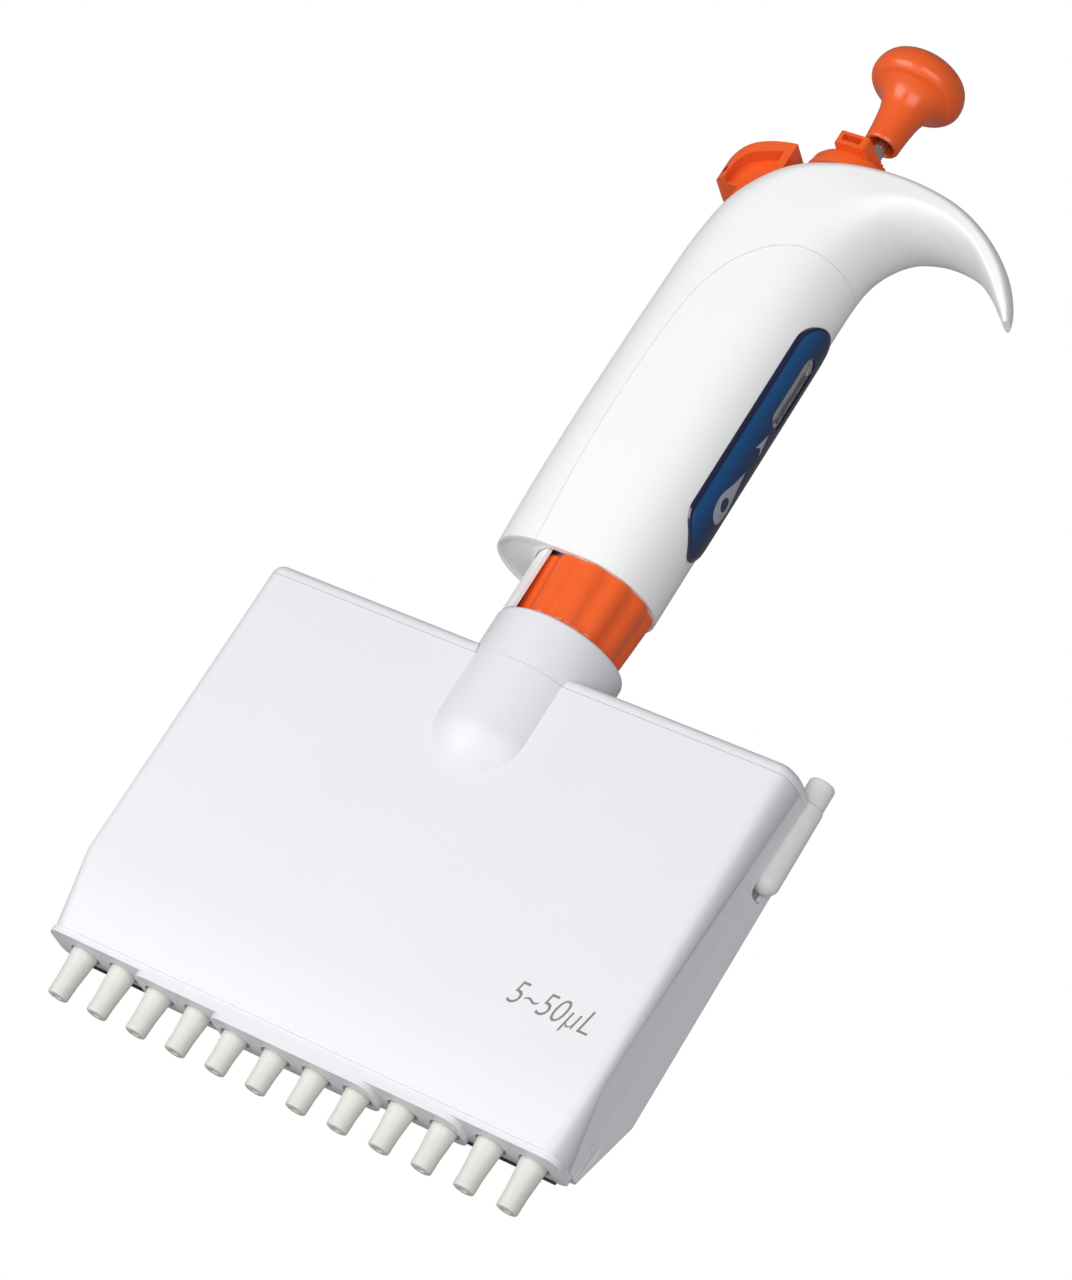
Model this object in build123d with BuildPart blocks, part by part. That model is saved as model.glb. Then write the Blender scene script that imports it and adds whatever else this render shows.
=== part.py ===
from build123d import *
import math
import os

# Twelve-channel air-displacement pipette, millimetres, +Z up the handle, nozzles down.
# The origin is the middle of the nozzle row, in the plane of the nozzle ends. The row runs
# along X, the finger hook points to +X, and -Y is the front of the head.

os.makedirs("parts", exist_ok=True)

# ---- Channels: the nine millimetre grid of microplates ----
CHANNELS = 12
PITCH = 9.0
NOZZLE_TIP_R = 2.1
NOZZLE_BASE_R = 2.85
NOZZLE_BORE_R = 0.75
NOZZLE_LAND_TOP = 3.4
NOZZLE_TAPER_TOP = 12.0
NOZZLE_EDGE = 0.4
NOZZLE_SHOULDER_Z = 14.0
SPIGOT_R = 2.5
SPIGOT_TOP = 20.0
PISTON_R = 1.3
STROKE = 12.0
EJECT_TRAVEL = 7.0
FIT = 0.05
GAP = 0.3
# Long enough to cut right through any piece.
REACH = 40.0

# ---- Head shells ----
SHELL_HALF_X = 58.6
SHELL_FOOT_HALF_X = 56.4
SHELL_FRONT_Y = -9.6
SHELL_REAR_Y = 8.9
FOOT_FRONT_Y = -6.8
FOOT_REAR_Y = 4.9
SHELL_BOTTOM = 10.6
CREASE_Z = 25.2
SEAM_Z = 90.1
SHELL_TOP = 92.7
SHELL_WALL = 1.6
PARTING_Y = 1.0
FRONT_CORNER_R = 4.5
REAR_CORNER_R = 1.2
CEILING_Z = SHELL_TOP - SHELL_WALL
COLLAR_R = 13.5
COLLAR_TOP = 101.0
COLLAR_CHAMFER = 0.6
COLLAR_LIP = 2.0
DOME_CENTRE_Z = 76.8
COMB_HOLE_R = 3.15
COMB_STEP = 1.1
FLUTE_BOTTOM = 16.0
FLUTE_TOP = 68.0
FLUTE_Y = 3.1
FLUTE_R = 2.7
FLUTE_DEPTH = 1.0
FLUTE_CENTRE_X = SHELL_HALF_X - FLUTE_DEPTH + FLUTE_R
SHELL_INNER_R = 0.6
COMB_BOTTOM = 9.4
COMB_STEP_HALF_X = (56.0, 35.55, 17.55)
COMB_DEPTH = 10.9
COMB_CORNER_R = 3.0
SHELL_SCREWS = [(-50, 32), (50, 32), (-50, 84), (50, 84)]
SCREW_HEAD_R = 2.0
SCREW_HEAD_H = 0.7
SCREW_SINK = 0.5
SCREW_SLOT_LENGTH = 2.6
SCREW_SLOT_WIDTH = 0.5

# ---- Side spring tubes ----
TUBE_X = 57.9
TUBE_Y = 4.0
TUBE_R = 2.8
TUBE_BOTTOM = 73.0
BAY_BOTTOM = 71.4
TUBE_SEAM = 91.8
TUBE_TOP = 97.0
TUBE_WALL = 0.8
TUBE_END_R = 1.8
POST_SEAT_TOP = 80.8
POST_THICK = 1.8
POST_HALF_Y = 0.9
POST_SEAT_R = 1.8
POST_PLATE_X = 0.5
CAP_CHAMFER = 0.3
SIDE_COIL_R = 1.3
SIDE_WIRE = 0.4

# ---- Cylinder block and its frame ----
BLOCK_HALF_X = 54.4
BLOCK_HALF_Y = 3.9
BLOCK_TOP = 40.0
RETAINER_TOP = 42.0
SEAL_R = 2.9
SEAL_DEPTH = 2.0
BLOCK_CORNER_R = 1.5
SMALL_SCREW_R = 0.8
SMALL_SCREW_HEAD_R = 1.6
SMALL_SCREW_HEAD_H = 1.2
LEG_IN = 52.3
PISTON_BOTTOM = 33.0
BAR_BOTTOM = 66.0
BAR_TOP = 72.0
BRIDGE_BOTTOM = 78.9
BRIDGE_TOP = 82.9
BAR_CORNER_R = 1.0
PISTON_HEAD_R = 1.8
PISTON_HEAD_H = 2.0
ROD_X = 2 * PITCH
ROD_R = 1.5
PISTON_COIL_R = 2.4
PISTON_WIRE = 0.6
RETAINER_SCREWS = [(-4 * PITCH, 0), (0, 0), (4 * PITCH, 0)]

# ---- Swivel joint ----
CONNECTOR_R = 7.95
CONNECTOR_TOP = 114.6
SOCKET_BORE_R = 8.0
SOCKET_R = 9.9
SOCKET_BOTTOM = 106.0
FLANGE_R = 8.9
FLANGE_CLEARANCE = 0.2
NUT_BOTTOM = 101.4
NUT_TOP = 114.2
NUT_LIP_TOP = 103.3
NUT_TOP_R = 12.1
NUT_BOTTOM_R = 11.3
NUT_FLUTES = 12
NUT_BORE_R = 8.15
NUT_FLUTE_R = 6.0
NUT_FLUTE_CENTRE = 17.7
PUSH_ROD_R = 2.45

# ---- Handle ----
HANDLE_BOTTOM = 114.6
HANDLE_TOP = 218.4
NOSE_R = 12.5
SPINE_CENTRE_X = -9.0
SPINE_REACH = 14.4
HANDLE_WALL = 1.5
CAVITY_TOP = 196.0
COVER_TOP = 193.3
SPINE = [
    (-22.2, HANDLE_BOTTOM), (-22.8, 124.0), (-23.4, 142.0), (-23.4, 170.0), (-22.9, 186.0), (-21.6, 198.0),
]
CROWN = [(-21.6, 198.0), (-16.5, 206.5), (-9.0, 213.6), (1.5, 217.6), (12.0, HANDLE_TOP)]
HOOK_TOP = [(12.0, HANDLE_TOP), (24.0, 216.9), (33.5, 212.4), (40.0, 206.2), (43.8, 199.8), (44.8, 196.4)]
HOOK_UNDER = [
    (43.6, 196.6), (39.0, 201.4), (32.5, 206.9), (25.5, 209.0), (18.5, 208.0), (14.2, 203.8), (NOSE_R, 197.0),
]
HOOK_ROOT = (14.0, 9.5)
HOOK_MIDDLE = (32.0, 6.2)
HOOK_TIP = (45.0, 1.6)
HOOK_INSIDE_X = 2.0
HOOK_LOW_Z = 190.0
FORM_RIGHT_X = 30.0
COVER_SEAM = [
    (-10.4, HANDLE_BOTTOM), (-12.2, 136.0), (-12.5, 155.0), (-11.5, 172.0),
    (-8.6, 182.5), (-3.6, 189.2), (2.6, 192.4), (8.0, COVER_TOP),
]
MOUTH_BACK_X = -14.5
CAVITY_STEP = 1.2
POCKET_BACK_X = -21.3
LABEL_R = 13.0
LABEL_HALF_Y = 6.9
LABEL_BOTTOM = 126.5
LABEL_TOP = 183.0
LABEL_TAPER_Z = 133.5
WINDOW_BOTTOM = 160.0
WINDOW_TOP = 176.5
WINDOW_HALF_Y = 2.2
WINDOW_MIDDLE = (WINDOW_TOP + WINDOW_BOTTOM) / 2
WINDOW_PROUD = 0.1

# ---- Chassis and volume setting ----
BASE_BOTTOM = 114.8
BASE_TOP = 118.4
BASE_R = 10.8
TUBE_BORE_R = 5.0
CHASSIS_R = 6.0
CHASSIS_TOP = 205.0
SLEEVE_BOTTOM = 144.1
SLEEVE_TOP = 211.0
WHEEL_R = 9.6
WHEEL_H = 4.6
WHEEL_GAP = 0.3
WHEEL_FIRST_Z = 161.1
COUNTER_BOTTOM = WHEEL_FIRST_Z - WHEEL_GAP
COUNTER_TOP = COUNTER_BOTTOM + 3 * (WHEEL_H + WHEEL_GAP) + WHEEL_GAP
COUNTER_PLATE = 2.4
COUNTER_R = 10.2
STAY_R = 10.05
STAY_THICK = 0.3
STAY_WIDTH = 4.0
GUIDE_R = 8.5
GUIDE_THICK = 3.0
GUIDE_WIDTH = 6.0

# ---- Plunger ----
PLUNGER_R = 1.5
PLUNGER_BOTTOM = 124.0
STOP_BOTTOM = 140.0
STOP_TOP = 144.0
WASHER_BOTTOM = 125.5
WASHER_TOP = 127.0
PLUNGER_TOP = 246.0
STOP_R = 4.4
STROKE_COIL_R = 3.2
STROKE_WIRE = 0.6
BLOWOUT_COIL_R = 3.9
BLOWOUT_WIRE = 0.9
KNOB_BOTTOM = 227.5
KNOB_SOCKET_Z = 236.0
KNOB_SOCKET_R = 2.7
KNOB_STEM = [(3.7, KNOB_BOTTOM), (4.0, 232.0), (4.6, 236.0), (5.8, 238.6), (9.0, 240.9)]
KNOB_CAP = [(9.0, 240.9), (9.9, 242.6), (9.7, 244.6), (8.6, 246.6), (6.0, 248.2), (0.0, 249.0)]
KNOB_UNDERSIDE = (1.0, 0.35)
LEVER_R = 10.4
LEVER_BOTTOM = 214.2
LEVER_TOP = 219.0
LEVER_FILLET = 1.6
WING_BOTTOM = 218.4
WING_TOP = 221.3
WING_PLAN = [(4.6, -2.0), (2.9, -11.2), (-3.4, -11.2), (-3.2, -5.0)]

# ---- Ejector ----
ARM_IN_R = 12.45
ARM_OUT_R = 13.25
ARM_HALF_ANGLE = 54.0
ARM_BOTTOM = COLLAR_TOP + 0.1
ARM_TOP = 127.0
LUG_BOTTOM = 124.0
EJECT_ROD_X = -17.0
LUG_BACK_X = -19.4
BUTTON_BACK_X = -26.3
BUTTON_CROWN = [(-25.2, 206.4), (-26.3, 208.2), (-24.8, 212.0), (-21.0, 215.4), (-12.3, 218.0)]
BUTTON_FRONT_X = -12.3
BUTTON_HALF_Y = 6.8
BUTTON_BOTTOM = 206.4
BUTTON_LOW_Z = 199.0
PLUG_BACK_X = -20.6
PLUG_BOTTOM = 200.0
PLUG_SOCKET = 8.0
SPRING_SEAT_Z = 184.0
EJECT_COIL_R = 2.0
EJECT_WIRE = 0.5


def channel_x(index):
    """X of one channel, counted from 0 at the left."""
    return (index - (CHANNELS - 1) / 2) * PITCH


CHANNEL_POINTS = [(channel_x(i), 0) for i in range(CHANNELS)]


def keep(part, name):
    """Label a finished sub-part and write it to its own file."""
    part.label = name
    export_step(part, f"parts/{name}.step")


def ring(r_out, r_in, bottom, top):
    """A plain ring about the Z axis."""
    with BuildPart() as body:
        with BuildSketch(Plane.XY.offset(bottom)):
            Circle(r_out)
            Circle(r_in, mode=Mode.SUBTRACT)
        extrude(amount=top - bottom)
    return body.part


def coil(x, y, bottom, top, radius, wire, turns):
    """A compression spring: one round wire swept along a helix."""
    height = top - bottom - 2 * wire
    with BuildPart() as body:
        with BuildLine() as path:
            Helix(pitch=height / turns, height=height, radius=radius, center=(x, y, bottom + wire))
        with BuildSketch(Plane(origin=path.line @ 0, z_dir=path.line % 0)):
            Circle(wire / 2)
        sweep(is_frenet=True)
    return body.part


# =====================================================================
# Head body: nozzles, cylinder block, seals, retainer, frame, connector
# =====================================================================
for index in range(CHANNELS):
    with BuildPart() as nozzle:
        with BuildSketch(Plane.XZ):
            with BuildLine():
                Polyline(
                    (NOZZLE_BORE_R, 0.0),
                    (NOZZLE_TIP_R - NOZZLE_EDGE, 0.0),
                    (NOZZLE_TIP_R, NOZZLE_EDGE),
                    (NOZZLE_TIP_R, NOZZLE_LAND_TOP),
                    (NOZZLE_BASE_R, NOZZLE_TAPER_TOP),
                    (NOZZLE_BASE_R, NOZZLE_SHOULDER_Z),
                    (SPIGOT_R, NOZZLE_SHOULDER_Z),
                    (SPIGOT_R, SPIGOT_TOP),
                    (NOZZLE_BORE_R, SPIGOT_TOP),
                    close=True,
                )
            make_face()
        revolve(axis=Axis.Z)
    keep(Pos(channel_x(index), 0, 0) * nozzle.part, f"nozzle_{index + 1:02d}")

with BuildPart() as cylinder_block:
    with BuildSketch(Plane.XY.offset(NOZZLE_SHOULDER_Z)):
        RectangleRounded(2 * BLOCK_HALF_X, 2 * BLOCK_HALF_Y, BLOCK_CORNER_R)
    extrude(amount=BLOCK_TOP - NOZZLE_SHOULDER_Z)
    with BuildSketch(Plane.XY.offset(NOZZLE_SHOULDER_Z)):
        with Locations(*CHANNEL_POINTS):
            Circle(SPIGOT_R)
    extrude(amount=SPIGOT_TOP - NOZZLE_SHOULDER_Z, mode=Mode.SUBTRACT)
    with BuildSketch(Plane.XY.offset(SPIGOT_TOP)):
        with Locations(*CHANNEL_POINTS):
            Circle(PISTON_R + GAP)
    extrude(amount=BLOCK_TOP - SPIGOT_TOP, mode=Mode.SUBTRACT)
    with BuildSketch(Plane.XY.offset(BLOCK_TOP - SEAL_DEPTH)):
        with Locations(*CHANNEL_POINTS):
            Circle(SEAL_R)
    extrude(amount=SEAL_DEPTH, mode=Mode.SUBTRACT)
keep(cylinder_block.part, "cylinder_block")

with BuildPart() as piston_seals:
    with BuildSketch(Plane.XY.offset(BLOCK_TOP - SEAL_DEPTH)):
        with Locations(*CHANNEL_POINTS):
            Circle(SEAL_R)
        with Locations(*CHANNEL_POINTS):
            Circle(PISTON_R + FIT, mode=Mode.SUBTRACT)
    extrude(amount=SEAL_DEPTH)
keep(piston_seals.part, "piston_seals")

with BuildPart() as seal_retainer:
    with BuildSketch(Plane.XY.offset(BLOCK_TOP)):
        RectangleRounded(2 * BLOCK_HALF_X, 2 * BLOCK_HALF_Y, BLOCK_CORNER_R)
        with Locations(*CHANNEL_POINTS):
            Circle(PISTON_R + GAP, mode=Mode.SUBTRACT)
        with Locations(*RETAINER_SCREWS):
            Circle(SMALL_SCREW_R, mode=Mode.SUBTRACT)
    extrude(amount=RETAINER_TOP - BLOCK_TOP)
keep(seal_retainer.part, "seal_retainer")

with BuildPart() as retainer_screws:
    with BuildSketch(Plane.XY.offset(BLOCK_TOP)):
        with Locations(*RETAINER_SCREWS):
            Circle(SMALL_SCREW_R)
    extrude(amount=RETAINER_TOP - BLOCK_TOP)
    with BuildSketch(Plane.XY.offset(RETAINER_TOP)):
        with Locations(*RETAINER_SCREWS):
            Circle(SMALL_SCREW_HEAD_R)
    extrude(amount=SMALL_SCREW_HEAD_H)
    with BuildSketch(Plane.XY.offset(RETAINER_TOP + SMALL_SCREW_HEAD_H / 2)):
        with Locations(*RETAINER_SCREWS):
            Rectangle(SMALL_SCREW_HEAD_R * 1.5, SMALL_SCREW_R / 2)
    extrude(amount=SMALL_SCREW_HEAD_H / 2, mode=Mode.SUBTRACT)
keep(retainer_screws.part, "retainer_screws")

with BuildPart() as head_frame:
    with BuildSketch(Plane.XZ.offset(-BLOCK_HALF_Y)):
        with BuildLine():
            Polyline(
                (-BLOCK_HALF_X, RETAINER_TOP),
                (-BLOCK_HALF_X, BRIDGE_TOP),
                (BLOCK_HALF_X, BRIDGE_TOP),
                (BLOCK_HALF_X, RETAINER_TOP),
                (LEG_IN, RETAINER_TOP),
                (LEG_IN, BRIDGE_BOTTOM),
                (-LEG_IN, BRIDGE_BOTTOM),
                (-LEG_IN, RETAINER_TOP),
                close=True,
            )
        make_face()
    extrude(amount=2 * BLOCK_HALF_Y)
    with BuildSketch(Plane.XY.offset(BRIDGE_BOTTOM)):
        Circle(PUSH_ROD_R + FIT)
        with Locations((-ROD_X, 0), (ROD_X, 0)):
            Circle(ROD_R)
    extrude(amount=BRIDGE_TOP - BRIDGE_BOTTOM, mode=Mode.SUBTRACT)
keep(head_frame.part, "head_frame")

with BuildPart() as guide_rods:
    with BuildSketch(Plane.XY.offset(RETAINER_TOP)):
        with Locations((-ROD_X, 0), (ROD_X, 0)):
            Circle(ROD_R)
    extrude(amount=BRIDGE_TOP - RETAINER_TOP)
keep(guide_rods.part, "guide_rods")

with BuildPart() as swivel_connector:
    with BuildSketch(Plane.XZ):
        with BuildLine():
            Polyline(
                (PUSH_ROD_R + FIT, BRIDGE_TOP),
                (CONNECTOR_R, BRIDGE_TOP),
                (CONNECTOR_R, NUT_LIP_TOP + FLANGE_CLEARANCE / 2),
                (FLANGE_R, NUT_LIP_TOP + FLANGE_CLEARANCE / 2),
                (FLANGE_R, SOCKET_BOTTOM - FLANGE_CLEARANCE),
                (CONNECTOR_R, SOCKET_BOTTOM - FLANGE_CLEARANCE),
                (CONNECTOR_R, CONNECTOR_TOP),
                (PUSH_ROD_R + FIT, CONNECTOR_TOP),
                close=True,
            )
        make_face()
    revolve(axis=Axis.Z)
keep(swivel_connector.part, "swivel_connector")

# A finger on each side of the frame reaches into the spring tube and is the spring's lower seat.
POST_BOTTOM = POST_SEAT_TOP - POST_THICK
for side, name in ((-1, "side_post_left"), (1, "side_post_right")):
    with BuildPart() as side_post:
        with BuildSketch(Plane.XY.offset(POST_BOTTOM)):
            with Locations((side * (BLOCK_HALF_X + POST_PLATE_X / 2), TUBE_Y / 2)):
                Rectangle(POST_PLATE_X, TUBE_Y + 2 * POST_HALF_Y)
            with Locations((side * (BLOCK_HALF_X + TUBE_X) / 2, TUBE_Y)):
                Rectangle(TUBE_X - BLOCK_HALF_X, 2 * POST_HALF_Y)
            with Locations((side * TUBE_X, TUBE_Y)):
                Circle(POST_SEAT_R)
        extrude(amount=POST_THICK)
    keep(side_post.part, name)

# =====================================================================
# Piston body
# =====================================================================
with BuildPart() as pistons:
    with BuildSketch(Plane.XY.offset(PISTON_BOTTOM)):
        with Locations(*CHANNEL_POINTS):
            Circle(PISTON_R)
    extrude(amount=BAR_BOTTOM - PISTON_BOTTOM)
    with BuildSketch(Plane.XY.offset(BAR_BOTTOM)):
        with Locations(*CHANNEL_POINTS):
            Circle(PISTON_HEAD_R)
    extrude(amount=PISTON_HEAD_H)
keep(pistons.part, "pistons")

with BuildPart() as piston_bar:
    with BuildSketch(Plane.XY.offset(BAR_BOTTOM)):
        RectangleRounded(2 * (LEG_IN - GAP), 2 * BLOCK_HALF_Y, BAR_CORNER_R)
        with Locations((-ROD_X, 0), (ROD_X, 0)):
            Circle(ROD_R + FIT, mode=Mode.SUBTRACT)
    extrude(amount=BAR_TOP - BAR_BOTTOM)
    with BuildSketch(Plane.XY.offset(BAR_BOTTOM)):
        with Locations(*CHANNEL_POINTS):
            Circle(PISTON_HEAD_R)
    extrude(amount=PISTON_HEAD_H, mode=Mode.SUBTRACT)
keep(piston_bar.part, "piston_bar")

with BuildPart() as push_rod:
    with BuildSketch(Plane.XY.offset(BAR_TOP)):
        Circle(PUSH_ROD_R)
    extrude(amount=PLUNGER_BOTTOM - FIT - BAR_TOP)
keep(push_rod.part, "push_rod")

with BuildPart() as piston_springs:
    for rod_x in (-ROD_X, ROD_X):
        add(coil(rod_x, 0, RETAINER_TOP, BAR_BOTTOM, PISTON_COIL_R, PISTON_WIRE, 9))
keep(piston_springs.part, "piston_springs")

# =====================================================================
# Ejector shell body
# =====================================================================
def shell_block(inset, corner_front, corner_rear, bottom, top):
    """The head's outer form, or its cavity when inset is the wall."""
    front, rear = SHELL_FRONT_Y + inset, SHELL_REAR_Y - inset
    foot_front, foot_rear = FOOT_FRONT_Y + inset, FOOT_REAR_Y - inset
    half, foot_half = SHELL_HALF_X - inset, SHELL_FOOT_HALF_X - inset
    with BuildPart() as body:
        with BuildSketch(Plane.YZ.offset(-half)):
            with BuildLine():
                Polyline(
                    (front, top), (front, CREASE_Z), (foot_front, bottom),
                    (foot_rear, bottom), (rear, CREASE_Z), (rear, top), close=True,
                )
            make_face()
        extrude(amount=2 * half)
        with BuildSketch(Plane.XZ.offset(-REACH / 2)):
            with BuildLine():
                Polyline(
                    (-half, top), (-half, CREASE_Z), (-foot_half, bottom),
                    (foot_half, bottom), (half, CREASE_Z), (half, top), close=True,
                )
            make_face()
        extrude(amount=REACH, mode=Mode.INTERSECT)
        upright = body.edges().filter_by(Axis.Z)
        fillet(upright.group_by(Axis.Y)[0], corner_front)
        fillet(upright.group_by(Axis.Y)[-1], corner_rear)
    return body.part


with BuildPart() as shell_form:
    add(shell_block(0, FRONT_CORNER_R, REAR_CORNER_R, SHELL_BOTTOM, SHELL_TOP))
    with BuildSketch(Plane.XY.offset(DOME_CENTRE_Z)):
        Circle(COLLAR_R)
    extrude(amount=SHELL_TOP - DOME_CENTRE_Z)
    with Locations((0, 0, DOME_CENTRE_Z)):
        Sphere(COLLAR_R)
    add(
        shell_block(SHELL_WALL, FRONT_CORNER_R - SHELL_WALL, SHELL_INNER_R, SHELL_BOTTOM, CEILING_Z),
        mode=Mode.SUBTRACT,
    )
    with BuildSketch(Plane.XY.offset(DOME_CENTRE_Z)):
        Circle(COLLAR_R - SHELL_WALL)
    extrude(amount=CEILING_Z - DOME_CENTRE_Z, mode=Mode.SUBTRACT)
    with Locations((0, 0, DOME_CENTRE_Z)):
        Sphere(COLLAR_R - SHELL_WALL, mode=Mode.SUBTRACT)
    # Bays for the side tubes, open a little below their ends, and a shallow flute under each.
    with BuildSketch(Plane.XY.offset(BAY_BOTTOM)):
        with Locations((-TUBE_X, TUBE_Y), (TUBE_X, TUBE_Y)):
            Circle(TUBE_R)
    extrude(amount=SHELL_TOP - BAY_BOTTOM, mode=Mode.SUBTRACT)
    with BuildSketch(Plane.XY.offset(FLUTE_BOTTOM)):
        with Locations((-FLUTE_CENTRE_X, FLUTE_Y), (FLUTE_CENTRE_X, FLUTE_Y)):
            Circle(FLUTE_R)
    extrude(amount=FLUTE_TOP - FLUTE_BOTTOM, mode=Mode.SUBTRACT)
    # The connector passes up through the top rail.
    with BuildSketch(Plane.XY.offset(CEILING_Z)):
        Circle(COLLAR_R - SHELL_WALL)
    extrude(amount=SHELL_WALL, mode=Mode.SUBTRACT)

with BuildPart() as front_shell:
    add(shell_form.part)
    with BuildSketch(Plane.XY.offset(SHELL_BOTTOM)):
        with Locations((0, PARTING_Y - REACH / 2)):
            Rectangle(4 * REACH, REACH)
    extrude(amount=SEAM_Z - SHELL_BOTTOM, mode=Mode.INTERSECT)
keep(front_shell.part, "front_shell")

with BuildPart() as rear_shell:
    add(shell_form.part)
    add(front_shell.part, mode=Mode.SUBTRACT)
    # The collar is a separate ring from the seam upwards.
    with BuildSketch(Plane.XY.offset(SEAM_Z)):
        Circle(COLLAR_R)
    extrude(amount=SHELL_TOP - SEAM_Z, mode=Mode.SUBTRACT)
    with BuildSketch(Plane.XZ.offset(-SHELL_REAR_Y)):
        with Locations(*SHELL_SCREWS):
            Circle(SCREW_HEAD_R)
    extrude(amount=SHELL_WALL, mode=Mode.SUBTRACT)
keep(rear_shell.part, "rear_shell")

with BuildPart() as ejector_collar:
    with BuildSketch(Plane.XZ):
        with BuildLine():
            Polyline(
                (COLLAR_R - SHELL_WALL, SEAM_Z),
                (COLLAR_R, SEAM_Z),
                (COLLAR_R, COLLAR_TOP - COLLAR_CHAMFER),
                (COLLAR_R - COLLAR_CHAMFER, COLLAR_TOP),
                (CONNECTOR_R + GAP, COLLAR_TOP),
                (CONNECTOR_R + GAP, COLLAR_TOP - COLLAR_LIP),
                (COLLAR_R - SHELL_WALL, COLLAR_TOP - COLLAR_LIP),
                close=True,
            )
        make_face()
    revolve(axis=Axis.Z)
keep(ejector_collar.part, "ejector_collar")

with BuildPart() as stripper_comb:
    for step, half_x in enumerate(COMB_STEP_HALF_X):
        with BuildSketch(Plane.XY.offset(COMB_BOTTOM - step * COMB_STEP)):
            with Locations((0, (FOOT_REAR_Y + FOOT_FRONT_Y) / 2)):
                RectangleRounded(2 * half_x, COMB_DEPTH, COMB_CORNER_R)
        extrude(amount=SHELL_BOTTOM - COMB_BOTTOM if step == 0 else COMB_STEP)
    with BuildSketch(Plane.XY):
        with Locations(*CHANNEL_POINTS):
            Circle(COMB_HOLE_R)
    extrude(amount=SHELL_BOTTOM, mode=Mode.SUBTRACT)
keep(stripper_comb.part, "stripper_comb")

for side, end in ((-1, "left"), (1, "right")):
    with BuildPart() as side_tube:
        with BuildSketch(Plane.XY.offset(TUBE_BOTTOM)):
            with Locations((side * TUBE_X, TUBE_Y)):
                Circle(TUBE_R)
        extrude(amount=TUBE_SEAM - TUBE_BOTTOM)
        fillet(side_tube.faces().sort_by(Axis.Z)[0].edges(), TUBE_END_R)
        with BuildSketch(Plane.XY.offset(TUBE_BOTTOM + TUBE_END_R)):
            with Locations((side * TUBE_X, TUBE_Y)):
                Circle(TUBE_R - TUBE_WALL)
        extrude(amount=TUBE_SEAM - TUBE_BOTTOM - TUBE_END_R, mode=Mode.SUBTRACT)
        with BuildSketch(Plane.XY.offset(POST_BOTTOM - GAP)):
            with Locations((side * (TUBE_X - TUBE_R / 2), TUBE_Y)):
                Rectangle(TUBE_R, 2 * (POST_HALF_Y + GAP))
        extrude(amount=EJECT_TRAVEL + POST_THICK + 2 * GAP, mode=Mode.SUBTRACT)
    keep(side_tube.part, f"side_tube_{end}")
    with BuildPart() as side_cap:
        with BuildSketch(Plane.XY.offset(TUBE_SEAM)):
            with Locations((side * TUBE_X, TUBE_Y)):
                Circle(TUBE_R)
        extrude(amount=TUBE_TOP - TUBE_SEAM)
        chamfer(side_cap.faces().sort_by(Axis.Z)[-1].edges(), CAP_CHAMFER)
    keep(side_cap.part, f"side_cap_{end}")
    side_spring = coil(side * TUBE_X, TUBE_Y, POST_SEAT_TOP, TUBE_SEAM, SIDE_COIL_R, SIDE_WIRE, 6)
    keep(side_spring, f"side_spring_{end}")

with BuildPart() as shell_screws:
    with BuildSketch(Plane.XZ.offset(-SHELL_REAR_Y + SCREW_SINK)):
        with Locations(*SHELL_SCREWS):
            Circle(SCREW_HEAD_R)
        with Locations(*SHELL_SCREWS):
            Rectangle(SCREW_SLOT_LENGTH, SCREW_SLOT_WIDTH, mode=Mode.SUBTRACT)
    extrude(amount=SCREW_HEAD_H)
    with BuildSketch(Plane.XZ.offset(-SHELL_REAR_Y + SCREW_SINK + SCREW_HEAD_H)):
        with Locations(*SHELL_SCREWS):
            Circle(SCREW_HEAD_R)
    extrude(amount=SHELL_WALL - SCREW_SINK - SCREW_HEAD_H)
keep(shell_screws.part, "shell_screws")

# =====================================================================
# Handle body: shells, cover, label, chassis, counter frame
# =====================================================================


def handle_section(inset=0.0):
    """Plan of the grip: a round nose about the plunger axis and an elliptic spine."""
    nose, reach = NOSE_R - inset, SPINE_REACH - inset
    with BuildSketch() as section:
        with BuildLine():
            CenterArc((0, 0), nose, -90, 180)
            Line((0, nose), (SPINE_CENTRE_X, nose))
            EllipticalCenterArc((SPINE_CENTRE_X, 0), reach, nose, start_angle=90, arc_size=180)
            Line((SPINE_CENTRE_X, -nose), (0, -nose))
        make_face()
    return section.sketch


with BuildPart() as grip_form:
    with BuildSketch(Plane.XY.offset(HANDLE_BOTTOM)):
        add(handle_section())
    extrude(amount=HANDLE_TOP - HANDLE_BOTTOM)
    with BuildSketch(Plane.XZ.offset(-REACH / 2)):
        with BuildLine():
            Spline(*SPINE)
            Spline(*CROWN)
            Polyline(CROWN[-1], (FORM_RIGHT_X, HANDLE_TOP), (FORM_RIGHT_X, HANDLE_BOTTOM), SPINE[0])
        make_face()
    extrude(amount=REACH, mode=Mode.INTERSECT)

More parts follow.
